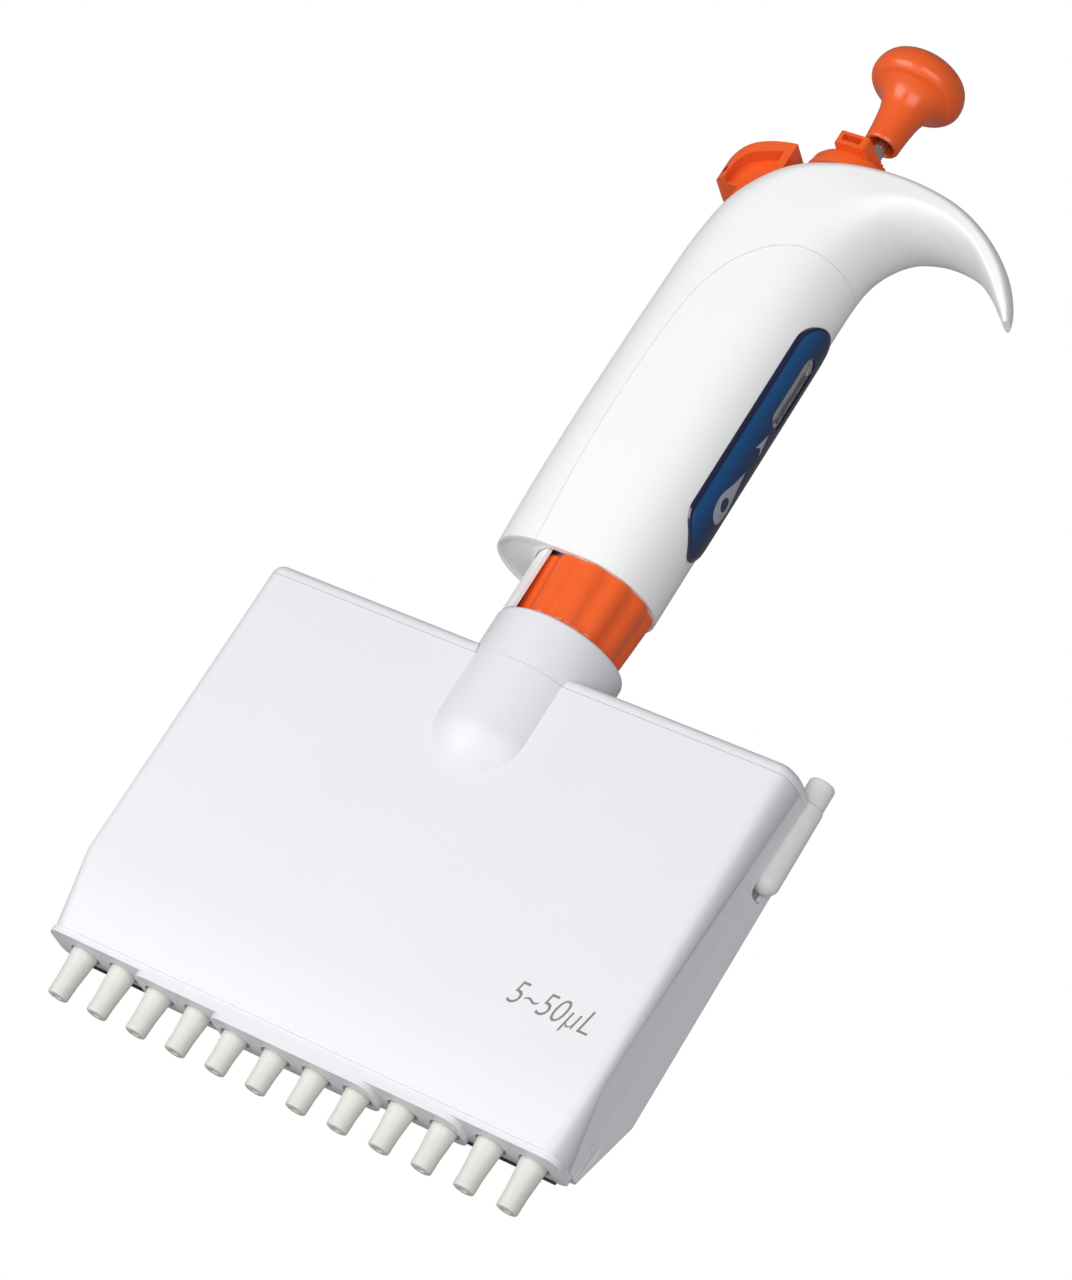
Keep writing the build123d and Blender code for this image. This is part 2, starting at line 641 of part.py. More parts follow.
with BuildPart() as hook_form:
    with BuildSketch(Plane.XZ.offset(-REACH / 2)):
        with BuildLine():
            Polyline((HOOK_INSIDE_X, HOOK_UNDER[-1][1]), (HOOK_INSIDE_X, HANDLE_TOP), HOOK_TOP[0])
            Spline(*HOOK_TOP)
            Line(HOOK_TOP[-1], HOOK_UNDER[0])
            Spline(*HOOK_UNDER)
            Line(HOOK_UNDER[-1], (HOOK_INSIDE_X, HOOK_UNDER[-1][1]))
        make_face()
    extrude(amount=REACH)
    with BuildSketch(Plane.XY.offset(HOOK_LOW_Z)):
        with BuildLine():
            Line((0, -HOOK_ROOT[1]), (HOOK_ROOT[0], -HOOK_ROOT[1]))
            Spline(
                (HOOK_ROOT[0], -HOOK_ROOT[1]), (HOOK_MIDDLE[0], -HOOK_MIDDLE[1]), (HOOK_TIP[0], -HOOK_TIP[1]),
            )
            Line((HOOK_TIP[0], -HOOK_TIP[1]), HOOK_TIP)
            Spline(HOOK_TIP, HOOK_MIDDLE, HOOK_ROOT)
            Polyline(HOOK_ROOT, (0, HOOK_ROOT[1]), (0, -HOOK_ROOT[1]))
        make_face()
    extrude(amount=REACH, mode=Mode.INTERSECT)

with BuildPart() as handle_form:
    add(grip_form.part)
    add(hook_form.part)
    # The hollow for the mechanism, open at the bottom except under the spine.
    with BuildSketch(Plane.XY.offset(HANDLE_BOTTOM)):
        add(handle_section(HANDLE_WALL))
        with Locations((MOUTH_BACK_X - REACH / 2, 0)):
            Rectangle(REACH, REACH, mode=Mode.SUBTRACT)
    extrude(amount=CAVITY_TOP - HANDLE_BOTTOM, mode=Mode.SUBTRACT)
    with BuildSketch(Plane.XY.offset(HANDLE_BOTTOM + HANDLE_WALL)):
        add(handle_section(HANDLE_WALL + CAVITY_STEP))
    extrude(amount=CAVITY_TOP - HANDLE_BOTTOM - HANDLE_WALL, mode=Mode.SUBTRACT)
    # Wells for the lock lever, the knob stem, the chassis head and the ejector button.
    with BuildSketch(Plane.XY.offset(LEVER_BOTTOM - GAP / 3)):
        Circle(LEVER_R + GAP)
    extrude(amount=REACH, mode=Mode.SUBTRACT)
    with BuildSketch(Plane.XY.offset(CAVITY_TOP)):
        Circle(CHASSIS_R)
    extrude(amount=HANDLE_TOP - CAVITY_TOP, mode=Mode.SUBTRACT)
    with BuildSketch(Plane.XY.offset(PLUG_BOTTOM - EJECT_TRAVEL - GAP)):
        with Locations(((BUTTON_FRONT_X + GAP + POCKET_BACK_X) / 2, 0)):
            Rectangle(BUTTON_FRONT_X + GAP - POCKET_BACK_X, 2 * (BUTTON_HALF_Y + GAP))
    extrude(amount=REACH, mode=Mode.SUBTRACT)

with BuildPart() as cover_region:
    with BuildSketch(Plane.XZ.offset(-REACH / 2)):
        with BuildLine():
            Spline(*COVER_SEAM)
            Polyline(COVER_SEAM[-1], (FORM_RIGHT_X, COVER_TOP), (FORM_RIGHT_X, HANDLE_BOTTOM), COVER_SEAM[0])
        make_face()
    extrude(amount=REACH)

with BuildPart() as front_cover:
    add(handle_form.part)
    add(cover_region.part, mode=Mode.INTERSECT)
    with BuildSketch(Plane.YZ):
        with Locations((0, WINDOW_MIDDLE)):
            SlotOverall(WINDOW_TOP - WINDOW_BOTTOM, 2 * WINDOW_HALF_Y, rotation=90)
    extrude(amount=REACH / 2, mode=Mode.SUBTRACT)
keep(front_cover.part, "front_cover")

with BuildPart() as handle_shell:
    add(handle_form.part)
    add(cover_region.part, mode=Mode.SUBTRACT)
keep(handle_shell.part, "handle_shell")

with BuildPart() as label_plate:
    with BuildSketch(Plane.XY.offset(LABEL_BOTTOM)):
        Circle(LABEL_R)
        Circle(NOSE_R, mode=Mode.SUBTRACT)
    extrude(amount=LABEL_TOP - LABEL_BOTTOM)
    with BuildSketch(Plane.YZ):
        with BuildLine():
            Polyline(
                (-LABEL_HALF_Y, LABEL_TOP - LABEL_HALF_Y), (-LABEL_HALF_Y, LABEL_TAPER_Z),
                (0, LABEL_BOTTOM), (LABEL_HALF_Y, LABEL_TAPER_Z), (LABEL_HALF_Y, LABEL_TOP - LABEL_HALF_Y),
            )
            ThreePointArc(
                (LABEL_HALF_Y, LABEL_TOP - LABEL_HALF_Y), (0, LABEL_TOP),
                (-LABEL_HALF_Y, LABEL_TOP - LABEL_HALF_Y),
            )
        make_face()
        with Locations((0, WINDOW_MIDDLE)):
            SlotOverall(WINDOW_TOP - WINDOW_BOTTOM, 2 * WINDOW_HALF_Y, rotation=90, mode=Mode.SUBTRACT)
    extrude(amount=REACH / 2, mode=Mode.INTERSECT)
keep(label_plate.part, "label_plate")

with BuildPart() as display_window:
    with BuildSketch(Plane.XY.offset(WINDOW_BOTTOM)):
        Circle(NOSE_R + WINDOW_PROUD)
        Circle(NOSE_R - HANDLE_WALL + WINDOW_PROUD, mode=Mode.SUBTRACT)
    extrude(amount=WINDOW_TOP - WINDOW_BOTTOM)
    with BuildSketch(Plane.YZ):
        with Locations((0, WINDOW_MIDDLE)):
            SlotOverall(WINDOW_TOP - WINDOW_BOTTOM, 2 * WINDOW_HALF_Y, rotation=90)
    extrude(amount=REACH / 2, mode=Mode.INTERSECT)
keep(display_window.part, "display_window")

with BuildPart() as chassis:
    with BuildSketch(Plane.XZ):
        with BuildLine():
            Polyline(
                (SOCKET_BORE_R, SOCKET_BOTTOM), (SOCKET_R, SOCKET_BOTTOM), (SOCKET_R, BASE_BOTTOM),
                (BASE_R, BASE_BOTTOM), (BASE_R, BASE_TOP), (CHASSIS_R, BASE_TOP), (CHASSIS_R, CHASSIS_TOP),
                (TUBE_BORE_R, CHASSIS_TOP), (TUBE_BORE_R, BASE_TOP), (PUSH_ROD_R + GAP, BASE_TOP),
                (PUSH_ROD_R + GAP, BASE_BOTTOM), (SOCKET_BORE_R, BASE_BOTTOM), close=True,
            )
        make_face()
    revolve(axis=Axis.Z)
keep(chassis.part, "chassis")

with BuildPart() as counter_frame:
    for level in (COUNTER_BOTTOM - COUNTER_PLATE, COUNTER_TOP):
        with BuildSketch(Plane.XY.offset(level)):
            Circle(COUNTER_R)
            Circle(CHASSIS_R, mode=Mode.SUBTRACT)
        extrude(amount=COUNTER_PLATE)
    with BuildSketch(Plane.XY.offset(COUNTER_BOTTOM)):
        with PolarLocations(STAY_R, 2, 120, 120):
            Rectangle(STAY_THICK, STAY_WIDTH)
    extrude(amount=COUNTER_TOP - COUNTER_BOTTOM)
keep(counter_frame.part, "counter_frame")

for index, digit in enumerate(("ones", "tens", "hundreds")):
    level = WHEEL_FIRST_Z + index * (WHEEL_H + WHEEL_GAP)
    keep(ring(WHEEL_R, CHASSIS_R + FIT, level, level + WHEEL_H), f"counter_wheel_{digit}")

with BuildPart() as rod_guide:
    with BuildSketch(Plane.XY.offset(SPRING_SEAT_Z - GUIDE_THICK)):
        Circle(GUIDE_R)
        with Locations((LUG_BACK_X / 2, 0)):
            Rectangle(-LUG_BACK_X, GUIDE_WIDTH)
        Circle(CHASSIS_R, mode=Mode.SUBTRACT)
        with Locations((EJECT_ROD_X, 0)):
            Circle(ROD_R + FIT, mode=Mode.SUBTRACT)
    extrude(amount=GUIDE_THICK)
keep(rod_guide.part, "rod_guide")

# =====================================================================
# Volume setting: sleeve, knob, lock lever
# =====================================================================
keep(ring(TUBE_BORE_R - FIT, PLUNGER_R + FIT, SLEEVE_BOTTOM, SLEEVE_TOP), "volume_sleeve")

with BuildPart() as knob:
    with BuildSketch(Plane.XZ):
        with BuildLine():
            Polyline(
                KNOB_CAP[-1], (0, PLUNGER_TOP), (PLUNGER_R, PLUNGER_TOP), (PLUNGER_R, KNOB_SOCKET_Z),
                (KNOB_SOCKET_R, KNOB_SOCKET_Z), (KNOB_SOCKET_R, KNOB_BOTTOM), KNOB_STEM[0],
            )
            Spline(*KNOB_STEM, tangents=((0, 1), KNOB_UNDERSIDE))
            Spline(*KNOB_CAP, tangents=(KNOB_UNDERSIDE, (-1, 0)))
        make_face()
    revolve(axis=Axis.Z)
keep(knob.part, "knob")

with BuildPart() as lock_lever:
    with BuildSketch(Plane.XY.offset(LEVER_BOTTOM)):
        Circle(LEVER_R)
    extrude(amount=LEVER_TOP - LEVER_BOTTOM)
    fillet(lock_lever.faces().sort_by(Axis.Z)[-1].edges(), LEVER_FILLET)
    with BuildSketch(Plane.XY.offset(WING_BOTTOM)):
        with BuildLine():
            Polyline(*WING_PLAN, close=True)
        make_face()
    extrude(amount=WING_TOP - WING_BOTTOM)
    with BuildSketch(Plane.XY.offset(LEVER_BOTTOM)):
        Circle(TUBE_BORE_R)
    extrude(amount=WING_TOP - LEVER_BOTTOM, mode=Mode.SUBTRACT)
keep(lock_lever.part, "lock_lever")

# =====================================================================
# Plunger
# =====================================================================
with BuildPart() as plunger_rod:
    with BuildSketch(Plane.XY.offset(PLUNGER_BOTTOM)):
        Circle(PLUNGER_R)
    extrude(amount=PLUNGER_TOP - PLUNGER_BOTTOM)
keep(plunger_rod.part, "plunger_rod")
keep(ring(STOP_R, PLUNGER_R, STOP_BOTTOM, STOP_TOP), "stop_collar")
keep(coil(0, 0, WASHER_TOP, STOP_BOTTOM, STROKE_COIL_R, STROKE_WIRE, 5), "stroke_spring")
keep(coil(0, 0, BASE_TOP, WASHER_BOTTOM, BLOWOUT_COIL_R, BLOWOUT_WIRE, 3.5), "blowout_spring")
keep(ring(TUBE_BORE_R - FIT, PUSH_ROD_R + GAP, WASHER_BOTTOM, WASHER_TOP), "blowout_washer")

# =====================================================================
# Ejector
# =====================================================================
with BuildPart() as ejector_button:
    with BuildSketch(Plane.XZ.offset(-BUTTON_HALF_Y)):
        with BuildLine():
            Spline(*BUTTON_CROWN)
            Polyline(
                BUTTON_CROWN[-1], (BUTTON_FRONT_X, PLUG_BOTTOM), (PLUG_BACK_X, PLUG_BOTTOM),
                (PLUG_BACK_X, BUTTON_BOTTOM), BUTTON_CROWN[0],
            )
        make_face()
    extrude(amount=2 * BUTTON_HALF_Y)
    with BuildSketch(Plane.XY.offset(BUTTON_LOW_Z)):
        with BuildLine():
            Line((BUTTON_FRONT_X, BUTTON_HALF_Y), (BUTTON_FRONT_X, -BUTTON_HALF_Y))
            Line((BUTTON_FRONT_X, -BUTTON_HALF_Y), (BUTTON_BACK_X + BUTTON_HALF_Y, -BUTTON_HALF_Y))
            CenterArc((BUTTON_BACK_X + BUTTON_HALF_Y, 0), BUTTON_HALF_Y, -90, -180)
            Line((BUTTON_BACK_X + BUTTON_HALF_Y, BUTTON_HALF_Y), (BUTTON_FRONT_X, BUTTON_HALF_Y))
        make_face()
    extrude(amount=REACH, mode=Mode.INTERSECT)
    with BuildSketch(Plane.XY.offset(PLUG_BOTTOM)):
        with Locations((EJECT_ROD_X, 0)):
            Circle(ROD_R)
    extrude(amount=PLUG_SOCKET, mode=Mode.SUBTRACT)
keep(ejector_button.part, "ejector_button")

with BuildPart() as ejector_rod:
    with BuildSketch(Plane.XY.offset(LUG_BOTTOM)):
        with Locations((EJECT_ROD_X, 0)):
            Circle(ROD_R)
    extrude(amount=PLUG_BOTTOM + PLUG_SOCKET - LUG_BOTTOM)
keep(ejector_rod.part, "ejector_rod")
keep(coil(EJECT_ROD_X, 0, SPRING_SEAT_Z, PLUG_BOTTOM, EJECT_COIL_R, EJECT_WIRE, 6), "ejector_spring")

with BuildPart() as ejector_arm:
    with BuildSketch(Plane.XY.offset(ARM_BOTTOM)):
        with BuildLine():
            CenterArc((0, 0), ARM_OUT_R, 180 - ARM_HALF_ANGLE, 2 * ARM_HALF_ANGLE)
            CenterArc((0, 0), ARM_IN_R, 180 - ARM_HALF_ANGLE, 2 * ARM_HALF_ANGLE)
            for turn in (-ARM_HALF_ANGLE, ARM_HALF_ANGLE):
                angle = math.radians(180 + turn)
                Line(
                    (ARM_IN_R * math.cos(angle), ARM_IN_R * math.sin(angle)),
                    (ARM_OUT_R * math.cos(angle), ARM_OUT_R * math.sin(angle)),
                )
        make_face()
    extrude(amount=ARM_TOP - ARM_BOTTOM)
    with BuildSketch(Plane.XY.offset(LUG_BOTTOM)):
        with Locations(((LUG_BACK_X - ARM_IN_R) / 2, 0)):
            Rectangle(-LUG_BACK_X - ARM_IN_R, GUIDE_WIDTH)
    extrude(amount=ARM_TOP - LUG_BOTTOM)
    with BuildSketch(Plane.XY.offset(LUG_BOTTOM)):
        with Locations((EJECT_ROD_X, 0)):
            Circle(ROD_R)
    extrude(amount=ARM_TOP - LUG_BOTTOM, mode=Mode.SUBTRACT)
keep(ejector_arm.part, "ejector_arm")

# =====================================================================
# Lock nut
# =====================================================================
with BuildPart() as lock_nut:
    with BuildSketch(Plane.XZ):
        with BuildLine():
            Polyline(
                (NUT_BORE_R, NUT_BOTTOM), (NUT_BOTTOM_R, NUT_BOTTOM), (NUT_TOP_R, NUT_TOP),
                (SOCKET_R + FIT, NUT_TOP), (SOCKET_R + FIT, NUT_LIP_TOP), (NUT_BORE_R, NUT_LIP_TOP),
                close=True,
            )
        make_face()
    revolve(axis=Axis.Z)
    with BuildSketch(Plane.XY.offset(NUT_BOTTOM)):
        with PolarLocations(NUT_FLUTE_CENTRE, NUT_FLUTES):
            Circle(NUT_FLUTE_R)
    extrude(amount=NUT_TOP - NUT_BOTTOM, mode=Mode.SUBTRACT)
keep(lock_nut.part, "lock_nut")
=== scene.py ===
import logging
import math
from dataclasses import dataclass, field
from enum import Enum

import bmesh
import bpy
from mathutils import Matrix, Vector


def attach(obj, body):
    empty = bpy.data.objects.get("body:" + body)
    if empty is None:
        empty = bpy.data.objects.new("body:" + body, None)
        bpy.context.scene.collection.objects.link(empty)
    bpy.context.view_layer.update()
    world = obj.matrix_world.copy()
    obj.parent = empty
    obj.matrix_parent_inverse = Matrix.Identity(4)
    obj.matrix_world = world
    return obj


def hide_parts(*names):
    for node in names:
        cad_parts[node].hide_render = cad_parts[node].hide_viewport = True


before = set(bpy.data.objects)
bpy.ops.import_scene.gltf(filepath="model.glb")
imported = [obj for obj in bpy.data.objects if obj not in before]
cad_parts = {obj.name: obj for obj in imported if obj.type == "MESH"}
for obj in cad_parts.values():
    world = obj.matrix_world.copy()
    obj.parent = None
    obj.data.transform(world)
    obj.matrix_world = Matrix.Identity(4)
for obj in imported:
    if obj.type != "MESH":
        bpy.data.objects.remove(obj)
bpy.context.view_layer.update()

MM = 0.001
LOG = logging.getLogger("pipette")
Point = tuple[float, float]


class Carve(Enum):
    """How one solid changes another."""

    TAKE = "DIFFERENCE"
    JOIN = "UNION"
    KEEP = "INTERSECT"


class Plane(Enum):
    """The plane that an outline is drawn in, as its two axes and the axis it grows along."""

    XY = (0, 1, 2)
    XZ = (0, 2, 1)
    YZ = (1, 2, 0)


# ---------------------------------------------------------------- shapes
def prism(outline: list[Point], plane: Plane, low: float, high: float) -> bmesh.types.BMesh:
    """Grow an outline into a solid.

    Args:
        outline: Corners in order, in millimetres.
        plane: Plane the outline lies in.
        low: Start along the third axis.
        high: End along the third axis.

    Returns:
        A closed mesh in millimetres.
    """
    a, b, c = plane.value
    bm = bmesh.new()
    corners = []
    for p, q in outline:
        at = [0.0, 0.0, 0.0]
        at[a], at[b], at[c] = p, q, low
        corners.append(bm.verts.new(at))
    face = bm.faces.new(corners)
    grown = bmesh.ops.extrude_face_region(bm, geom=[face])
    step = [0.0, 0.0, 0.0]
    step[c] = high - low
    moved = [g for g in grown["geom"] if isinstance(g, bmesh.types.BMVert)]
    bmesh.ops.translate(bm, vec=step, verts=moved)
    bmesh.ops.recalc_face_normals(bm, faces=bm.faces[:])
    return bm


def lathe(profile: list[Point], steps: int = 96, centre: Point = (0.0, 0.0)) -> bmesh.types.BMesh:
    """Turn a closed profile about an upright axis.

    Args:
        profile: (radius, z) in order; a profile that leaves the axis is closed on itself.
        steps: Facets round the turn.
        centre: X and Y of the axis.

    Returns:
        A closed mesh in millimetres.
    """
    bm = bmesh.new()
    verts = [bm.verts.new((r, 0.0, z)) for r, z in profile]
    edges = [bm.edges.new(pair) for pair in zip(verts, verts[1:])]
    if profile[0][0] > 1e-9 or profile[-1][0] > 1e-9:
        edges.append(bm.edges.new((verts[-1], verts[0])))
    bmesh.ops.spin(
        bm, geom=verts + edges, cent=(0, 0, 0), axis=(0, 0, 1), dvec=(0, 0, 0),
        angle=2 * math.pi, steps=steps, use_merge=True, use_duplicate=False,
    )
    bmesh.ops.remove_doubles(bm, verts=bm.verts[:], dist=1e-4)
    bmesh.ops.recalc_face_normals(bm, faces=bm.faces[:])
    bmesh.ops.translate(bm, vec=(centre[0], centre[1], 0), verts=bm.verts[:])
    return bm


def ball(radius: float, centre: tuple[float, float, float]) -> bmesh.types.BMesh:
    """A sphere in millimetres."""
    bm = bmesh.new()
    bmesh.ops.create_uvsphere(bm, u_segments=48, v_segments=24, radius=radius)
    bmesh.ops.translate(bm, vec=centre, verts=bm.verts[:])
    return bm


def box(low: tuple[float, float, float], high: tuple[float, float, float]) -> bmesh.types.BMesh:
    """A plain block between two corners."""
    corners = [(low[0], low[1]), (high[0], low[1]), (high[0], high[1]), (low[0], high[1])]
    return prism(corners, Plane.XY, low[2], high[2])


def spare(bm: bmesh.types.BMesh) -> bpy.types.Object:
    """A passing object that holds a mesh while it is carved."""
    mesh = bpy.data.meshes.new("passing")
    bm.to_mesh(mesh)
    bm.free()
    obj = bpy.data.objects.new("passing", mesh)
    bpy.context.scene.collection.objects.link(obj)
    return obj


def carve(base: bmesh.types.BMesh, tool: bmesh.types.BMesh, how: Carve) -> bmesh.types.BMesh:
    """Carve one closed solid with another.

    Args:
        base: The solid that is kept. It is used up.
        tool: The solid that cuts or joins. It is used up.
        how: Take away, join or keep the common part.

    Returns:
        The new solid.
    """
    held, cutter = spare(base), spare(tool)
    modifier = held.modifiers.new("carve", "BOOLEAN")
    modifier.object, modifier.operation, modifier.solver = cutter, how.value, "EXACT"
    bpy.context.view_layer.update()
    got = bpy.data.meshes.new_from_object(held.evaluated_get(bpy.context.evaluated_depsgraph_get()))
    bm = bmesh.new()
    bm.from_mesh(got)
    for obj in (held, cutter):
        mesh = obj.data
        bpy.data.objects.remove(obj)
        bpy.data.meshes.remove(mesh)
    bpy.data.meshes.remove(got)
    bmesh.ops.remove_doubles(bm, verts=bm.verts[:], dist=1e-4)
    bmesh.ops.dissolve_degenerate(bm, dist=1e-5, edges=bm.edges[:])
    return bm


def joined(*parts: bmesh.types.BMesh) -> bmesh.types.BMesh:
    """Several separate solids in one mesh."""
    bm = bmesh.new()
    for part in parts:
        mesh = bpy.data.meshes.new("passing")
        part.to_mesh(mesh)
        part.free()
        bm.from_mesh(mesh)
        bpy.data.meshes.remove(mesh)
    return bm


def curve(points: list[Point], per_span: int = 8) -> list[Point]:
    """A smooth line through points, ends included.

    Args:
        points: The points it passes through.
        per_span: Steps between two points.

    Returns:
        The sampled line.
    """
    ends = [points[0], *points, points[-1]]
    line = []
    for i in range(len(points) - 1):
        p0, p1, p2, p3 = (Vector(p) for p in ends[i:i + 4])
        for k in range(per_span):
            t = k / per_span
            at = 0.5 * (
                2 * p1 + (p2 - p0) * t + (2 * p0 - 5 * p1 + 4 * p2 - p3) * t * t
                + (3 * p1 - p0 - 3 * p2 + p3) * t * t * t
            )
            line.append(tuple(at))
    return [*line, tuple(points[-1])]


def rounded(points: list[Point], radius: float, steps: int = 6) -> list[Point]:
    """The same outline with its corners rounded.

    Args:
        points: Corners in order.
        radius: How far back from a corner the rounding starts.
        steps: Steps round each corner.

    Returns:
        The rounded outline.
    """
    out = []
    for before, at, after in zip([points[-1], *points[:-1]], points, [*points[1:], points[0]]):
        at_, to_b, to_a = Vector(at), Vector(before) - Vector(at), Vector(after) - Vector(at)
        start = at_ + to_b.normalized() * min(radius, to_b.length * 0.45)
        end = at_ + to_a.normalized() * min(radius, to_a.length * 0.45)
        for k in range(steps + 1):
            t = k / steps
            out.append(tuple((1 - t) ** 2 * start + 2 * t * (1 - t) * at_ + t * t * end))
    return out


def arc(centre: Point, radius: float, start: float, end: float, steps: int = 24) -> list[Point]:
    """Points on an arc, angles in degrees."""
    turn = [math.radians(start + (end - start) * k / steps) for k in range(steps + 1)]
    return [(centre[0] + radius * math.cos(a), centre[1] + radius * math.sin(a)) for a in turn]


# ---------------------------------------------------------------- finishes
def moulded_group() -> bpy.types.NodeTree:
    """The group that gives a moulded or machined surface its small variations.

    Returns:
        The node group, with colour, roughness and height out.
    """
    name = "fine_variation"
    if name in bpy.data.node_groups:
        return bpy.data.node_groups[name]
    group = bpy.data.node_groups.new(name, "ShaderNodeTree")
    face = group.interface
    face.new_socket("Vector", in_out="INPUT", socket_type="NodeSocketVector")
    face.new_socket("Light", in_out="INPUT", socket_type="NodeSocketColor")
    face.new_socket("Dark", in_out="INPUT", socket_type="NodeSocketColor")
    for label in ("Grain", "Rough Low", "Rough High"):
        face.new_socket(label, in_out="INPUT", socket_type="NodeSocketFloat")
    face.new_socket("Color", in_out="OUTPUT", socket_type="NodeSocketColor")
    face.new_socket("Roughness", in_out="OUTPUT", socket_type="NodeSocketFloat")
    face.new_socket("Height", in_out="OUTPUT", socket_type="NodeSocketFloat")
    nodes, links = group.nodes, group.links
    entry, leave = nodes.new("NodeGroupInput"), nodes.new("NodeGroupOutput")
    broad, fine = nodes.new("ShaderNodeTexNoise"), nodes.new("ShaderNodeTexNoise")
    broad.inputs["Scale"].default_value, broad.inputs["Detail"].default_value = 38.0, 3.0
    fine.inputs["Detail"].default_value = 2.0
    mix, span = nodes.new("ShaderNodeMix"), nodes.new("ShaderNodeMapRange")
    mix.data_type = "RGBA"
    links.new(entry.outputs["Vector"], broad.inputs["Vector"])
    links.new(entry.outputs["Vector"], fine.inputs["Vector"])
    links.new(entry.outputs["Grain"], fine.inputs["Scale"])
    links.new(broad.outputs["Fac"], mix.inputs["Factor"])
    links.new(entry.outputs["Light"], mix.inputs["A"])
    links.new(entry.outputs["Dark"], mix.inputs["B"])
    links.new(fine.outputs["Fac"], span.inputs["Value"])
    span.inputs["From Min"].default_value, span.inputs["From Max"].default_value = 0.3, 0.7
    links.new(entry.outputs["Rough Low"], span.inputs["To Min"])
    links.new(entry.outputs["Rough High"], span.inputs["To Max"])
    links.new(mix.outputs["Result"], leave.inputs["Color"])
    links.new(span.outputs["Result"], leave.inputs["Roughness"])
    links.new(fine.outputs["Fac"], leave.inputs["Height"])
    return group


@dataclass(frozen=True)
class Finish:
    """A surface: two close tones, a roughness span, a grain and what the shader adds."""

    name: str
    light: tuple[float, float, float]
    dark: tuple[float, float, float]
    rough: tuple[float, float] = (0.35, 0.42)
    grain: float = 2600.0
    relief: float = 0.02
    metallic: float = 0.0
    coat: float = 0.0
    clear: float = 0.0

    def surface(self) -> tuple[bpy.types.Material, bpy.types.ShaderNode, bpy.types.ShaderNode]:
        """Start the material.

        Returns:
            The material, its shader and its variation group.
        """
        material = bpy.data.materials.new(self.name)
        material.use_nodes = True
        nodes, links = material.node_tree.nodes, material.node_tree.links
        shader = nodes["Principled BSDF"]
        where, group, bump = (
            nodes.new("ShaderNodeTexCoord"), nodes.new("ShaderNodeGroup"), nodes.new("ShaderNodeBump"),
        )
        group.node_tree = moulded_group()
        group.inputs["Light"].default_value = (*self.light, 1)
        group.inputs["Dark"].default_value = (*self.dark, 1)
        group.inputs["Grain"].default_value = self.grain
        group.inputs["Rough Low"].default_value, group.inputs["Rough High"].default_value = self.rough
        bump.inputs["Strength"].default_value = self.relief
        bump.inputs["Distance"].default_value = 0.0002
        links.new(where.outputs["Object"], group.inputs["Vector"])
        links.new(group.outputs["Color"], shader.inputs["Base Color"])
        links.new(group.outputs["Roughness"], shader.inputs["Roughness"])
        links.new(group.outputs["Height"], bump.inputs["Height"])
        links.new(bump.outputs["Normal"], shader.inputs["Normal"])
        shader.inputs["Metallic"].default_value = self.metallic
        shader.inputs["Coat Weight"].default_value = self.coat
        shader.inputs["Coat Roughness"].default_value = 0.08
        shader.inputs["Transmission Weight"].default_value = self.clear
        return material, shader, group

    def material(self) -> bpy.types.Material:
        """The finished material, made once."""
        return bpy.data.materials.get(self.name) or self.surface()[0]


@dataclass(frozen=True)
class PaintedShadeFinish(Finish):
    """A finish whose colour runs through three tones across the label, from its near edge to its far edge:
    real blue paint with painted reflection and shade, darkening to near black at the far edge.
    """

    shade_middle: tuple[float, float, float] = (0, 0, 0)
    far: tuple[float, float, float] = (0, 0, 0)

    def material(self) -> bpy.types.Material:
        """The finished material, made once."""
        if self.name in bpy.data.materials:
            return bpy.data.materials[self.name]
        material, shader, group = self.surface()
        nodes, links = material.node_tree.nodes, material.node_tree.links
        where, split, ramp = (
            nodes.new("ShaderNodeTexCoord"), nodes.new("ShaderNodeSeparateXYZ"),
            nodes.new("ShaderNodeValToRGB"),
        )
        span, shade, flake = (
            nodes.new("ShaderNodeMapRange"), nodes.new("ShaderNodeMix"), nodes.new("ShaderNodeTexNoise"),
        )
        links.new(where.outputs["Object"], split.inputs["Vector"])
        links.new(split.outputs["Y"], span.inputs["Value"])
        span.inputs["From Min"].default_value, span.inputs["From Max"].default_value = -0.0069, 0.0069
        links.new(span.outputs["Result"], ramp.inputs["Fac"])
        # Painted reflection and shade: the ramp runs from the lit blue at the near edge to near black at the
        # far edge.
        stops = ramp.color_ramp.elements
        stops[0].position, stops[0].color = 0.12, (*self.light, 1)
        stops[1].position, stops[1].color = 0.72, (*self.far, 1)
        shade_middle = stops.new(0.42)
        shade_middle.color = (*self.shade_middle, 1)
        flake.inputs["Scale"].default_value = 5200.0
        shade.data_type, shade.blend_type = "RGBA", "SOFT_LIGHT"
        shade.inputs["Factor"].default_value = 0.5
        links.new(where.outputs["Object"], flake.inputs["Vector"])
        links.new(ramp.outputs["Color"], shade.inputs["A"])
        links.new(flake.outputs["Fac"], shade.inputs["B"])
        links.new(shade.outputs["Result"], shader.inputs["Base Color"])
        return material


HANDLE_WHITE = Finish("grip_plastic", (0.93, 0.93, 0.93), (0.915, 0.915, 0.912), (0.36, 0.42), relief=0.03)
HEAD_WHITE = Finish("head_plastic", (0.765, 0.772, 0.80), (0.75, 0.758, 0.787), (0.40, 0.46), relief=0.03)
TUBE_GREY = Finish("tube_plastic", (0.80, 0.79, 0.785), (0.78, 0.77, 0.765), (0.38, 0.44))
ORANGE = Finish("orange_plastic", (0.95, 0.018, 0.003), (0.92, 0.014, 0.002), (0.34, 0.40), relief=0.03)
IVORY = Finish("nozzle_plastic", (0.71, 0.695, 0.65), (0.69, 0.675, 0.63), (0.42, 0.48))
NAVY = Finish("label_edge", (0.005, 0.010, 0.055), (0.004, 0.008, 0.045), (0.12, 0.18), coat=0.6)
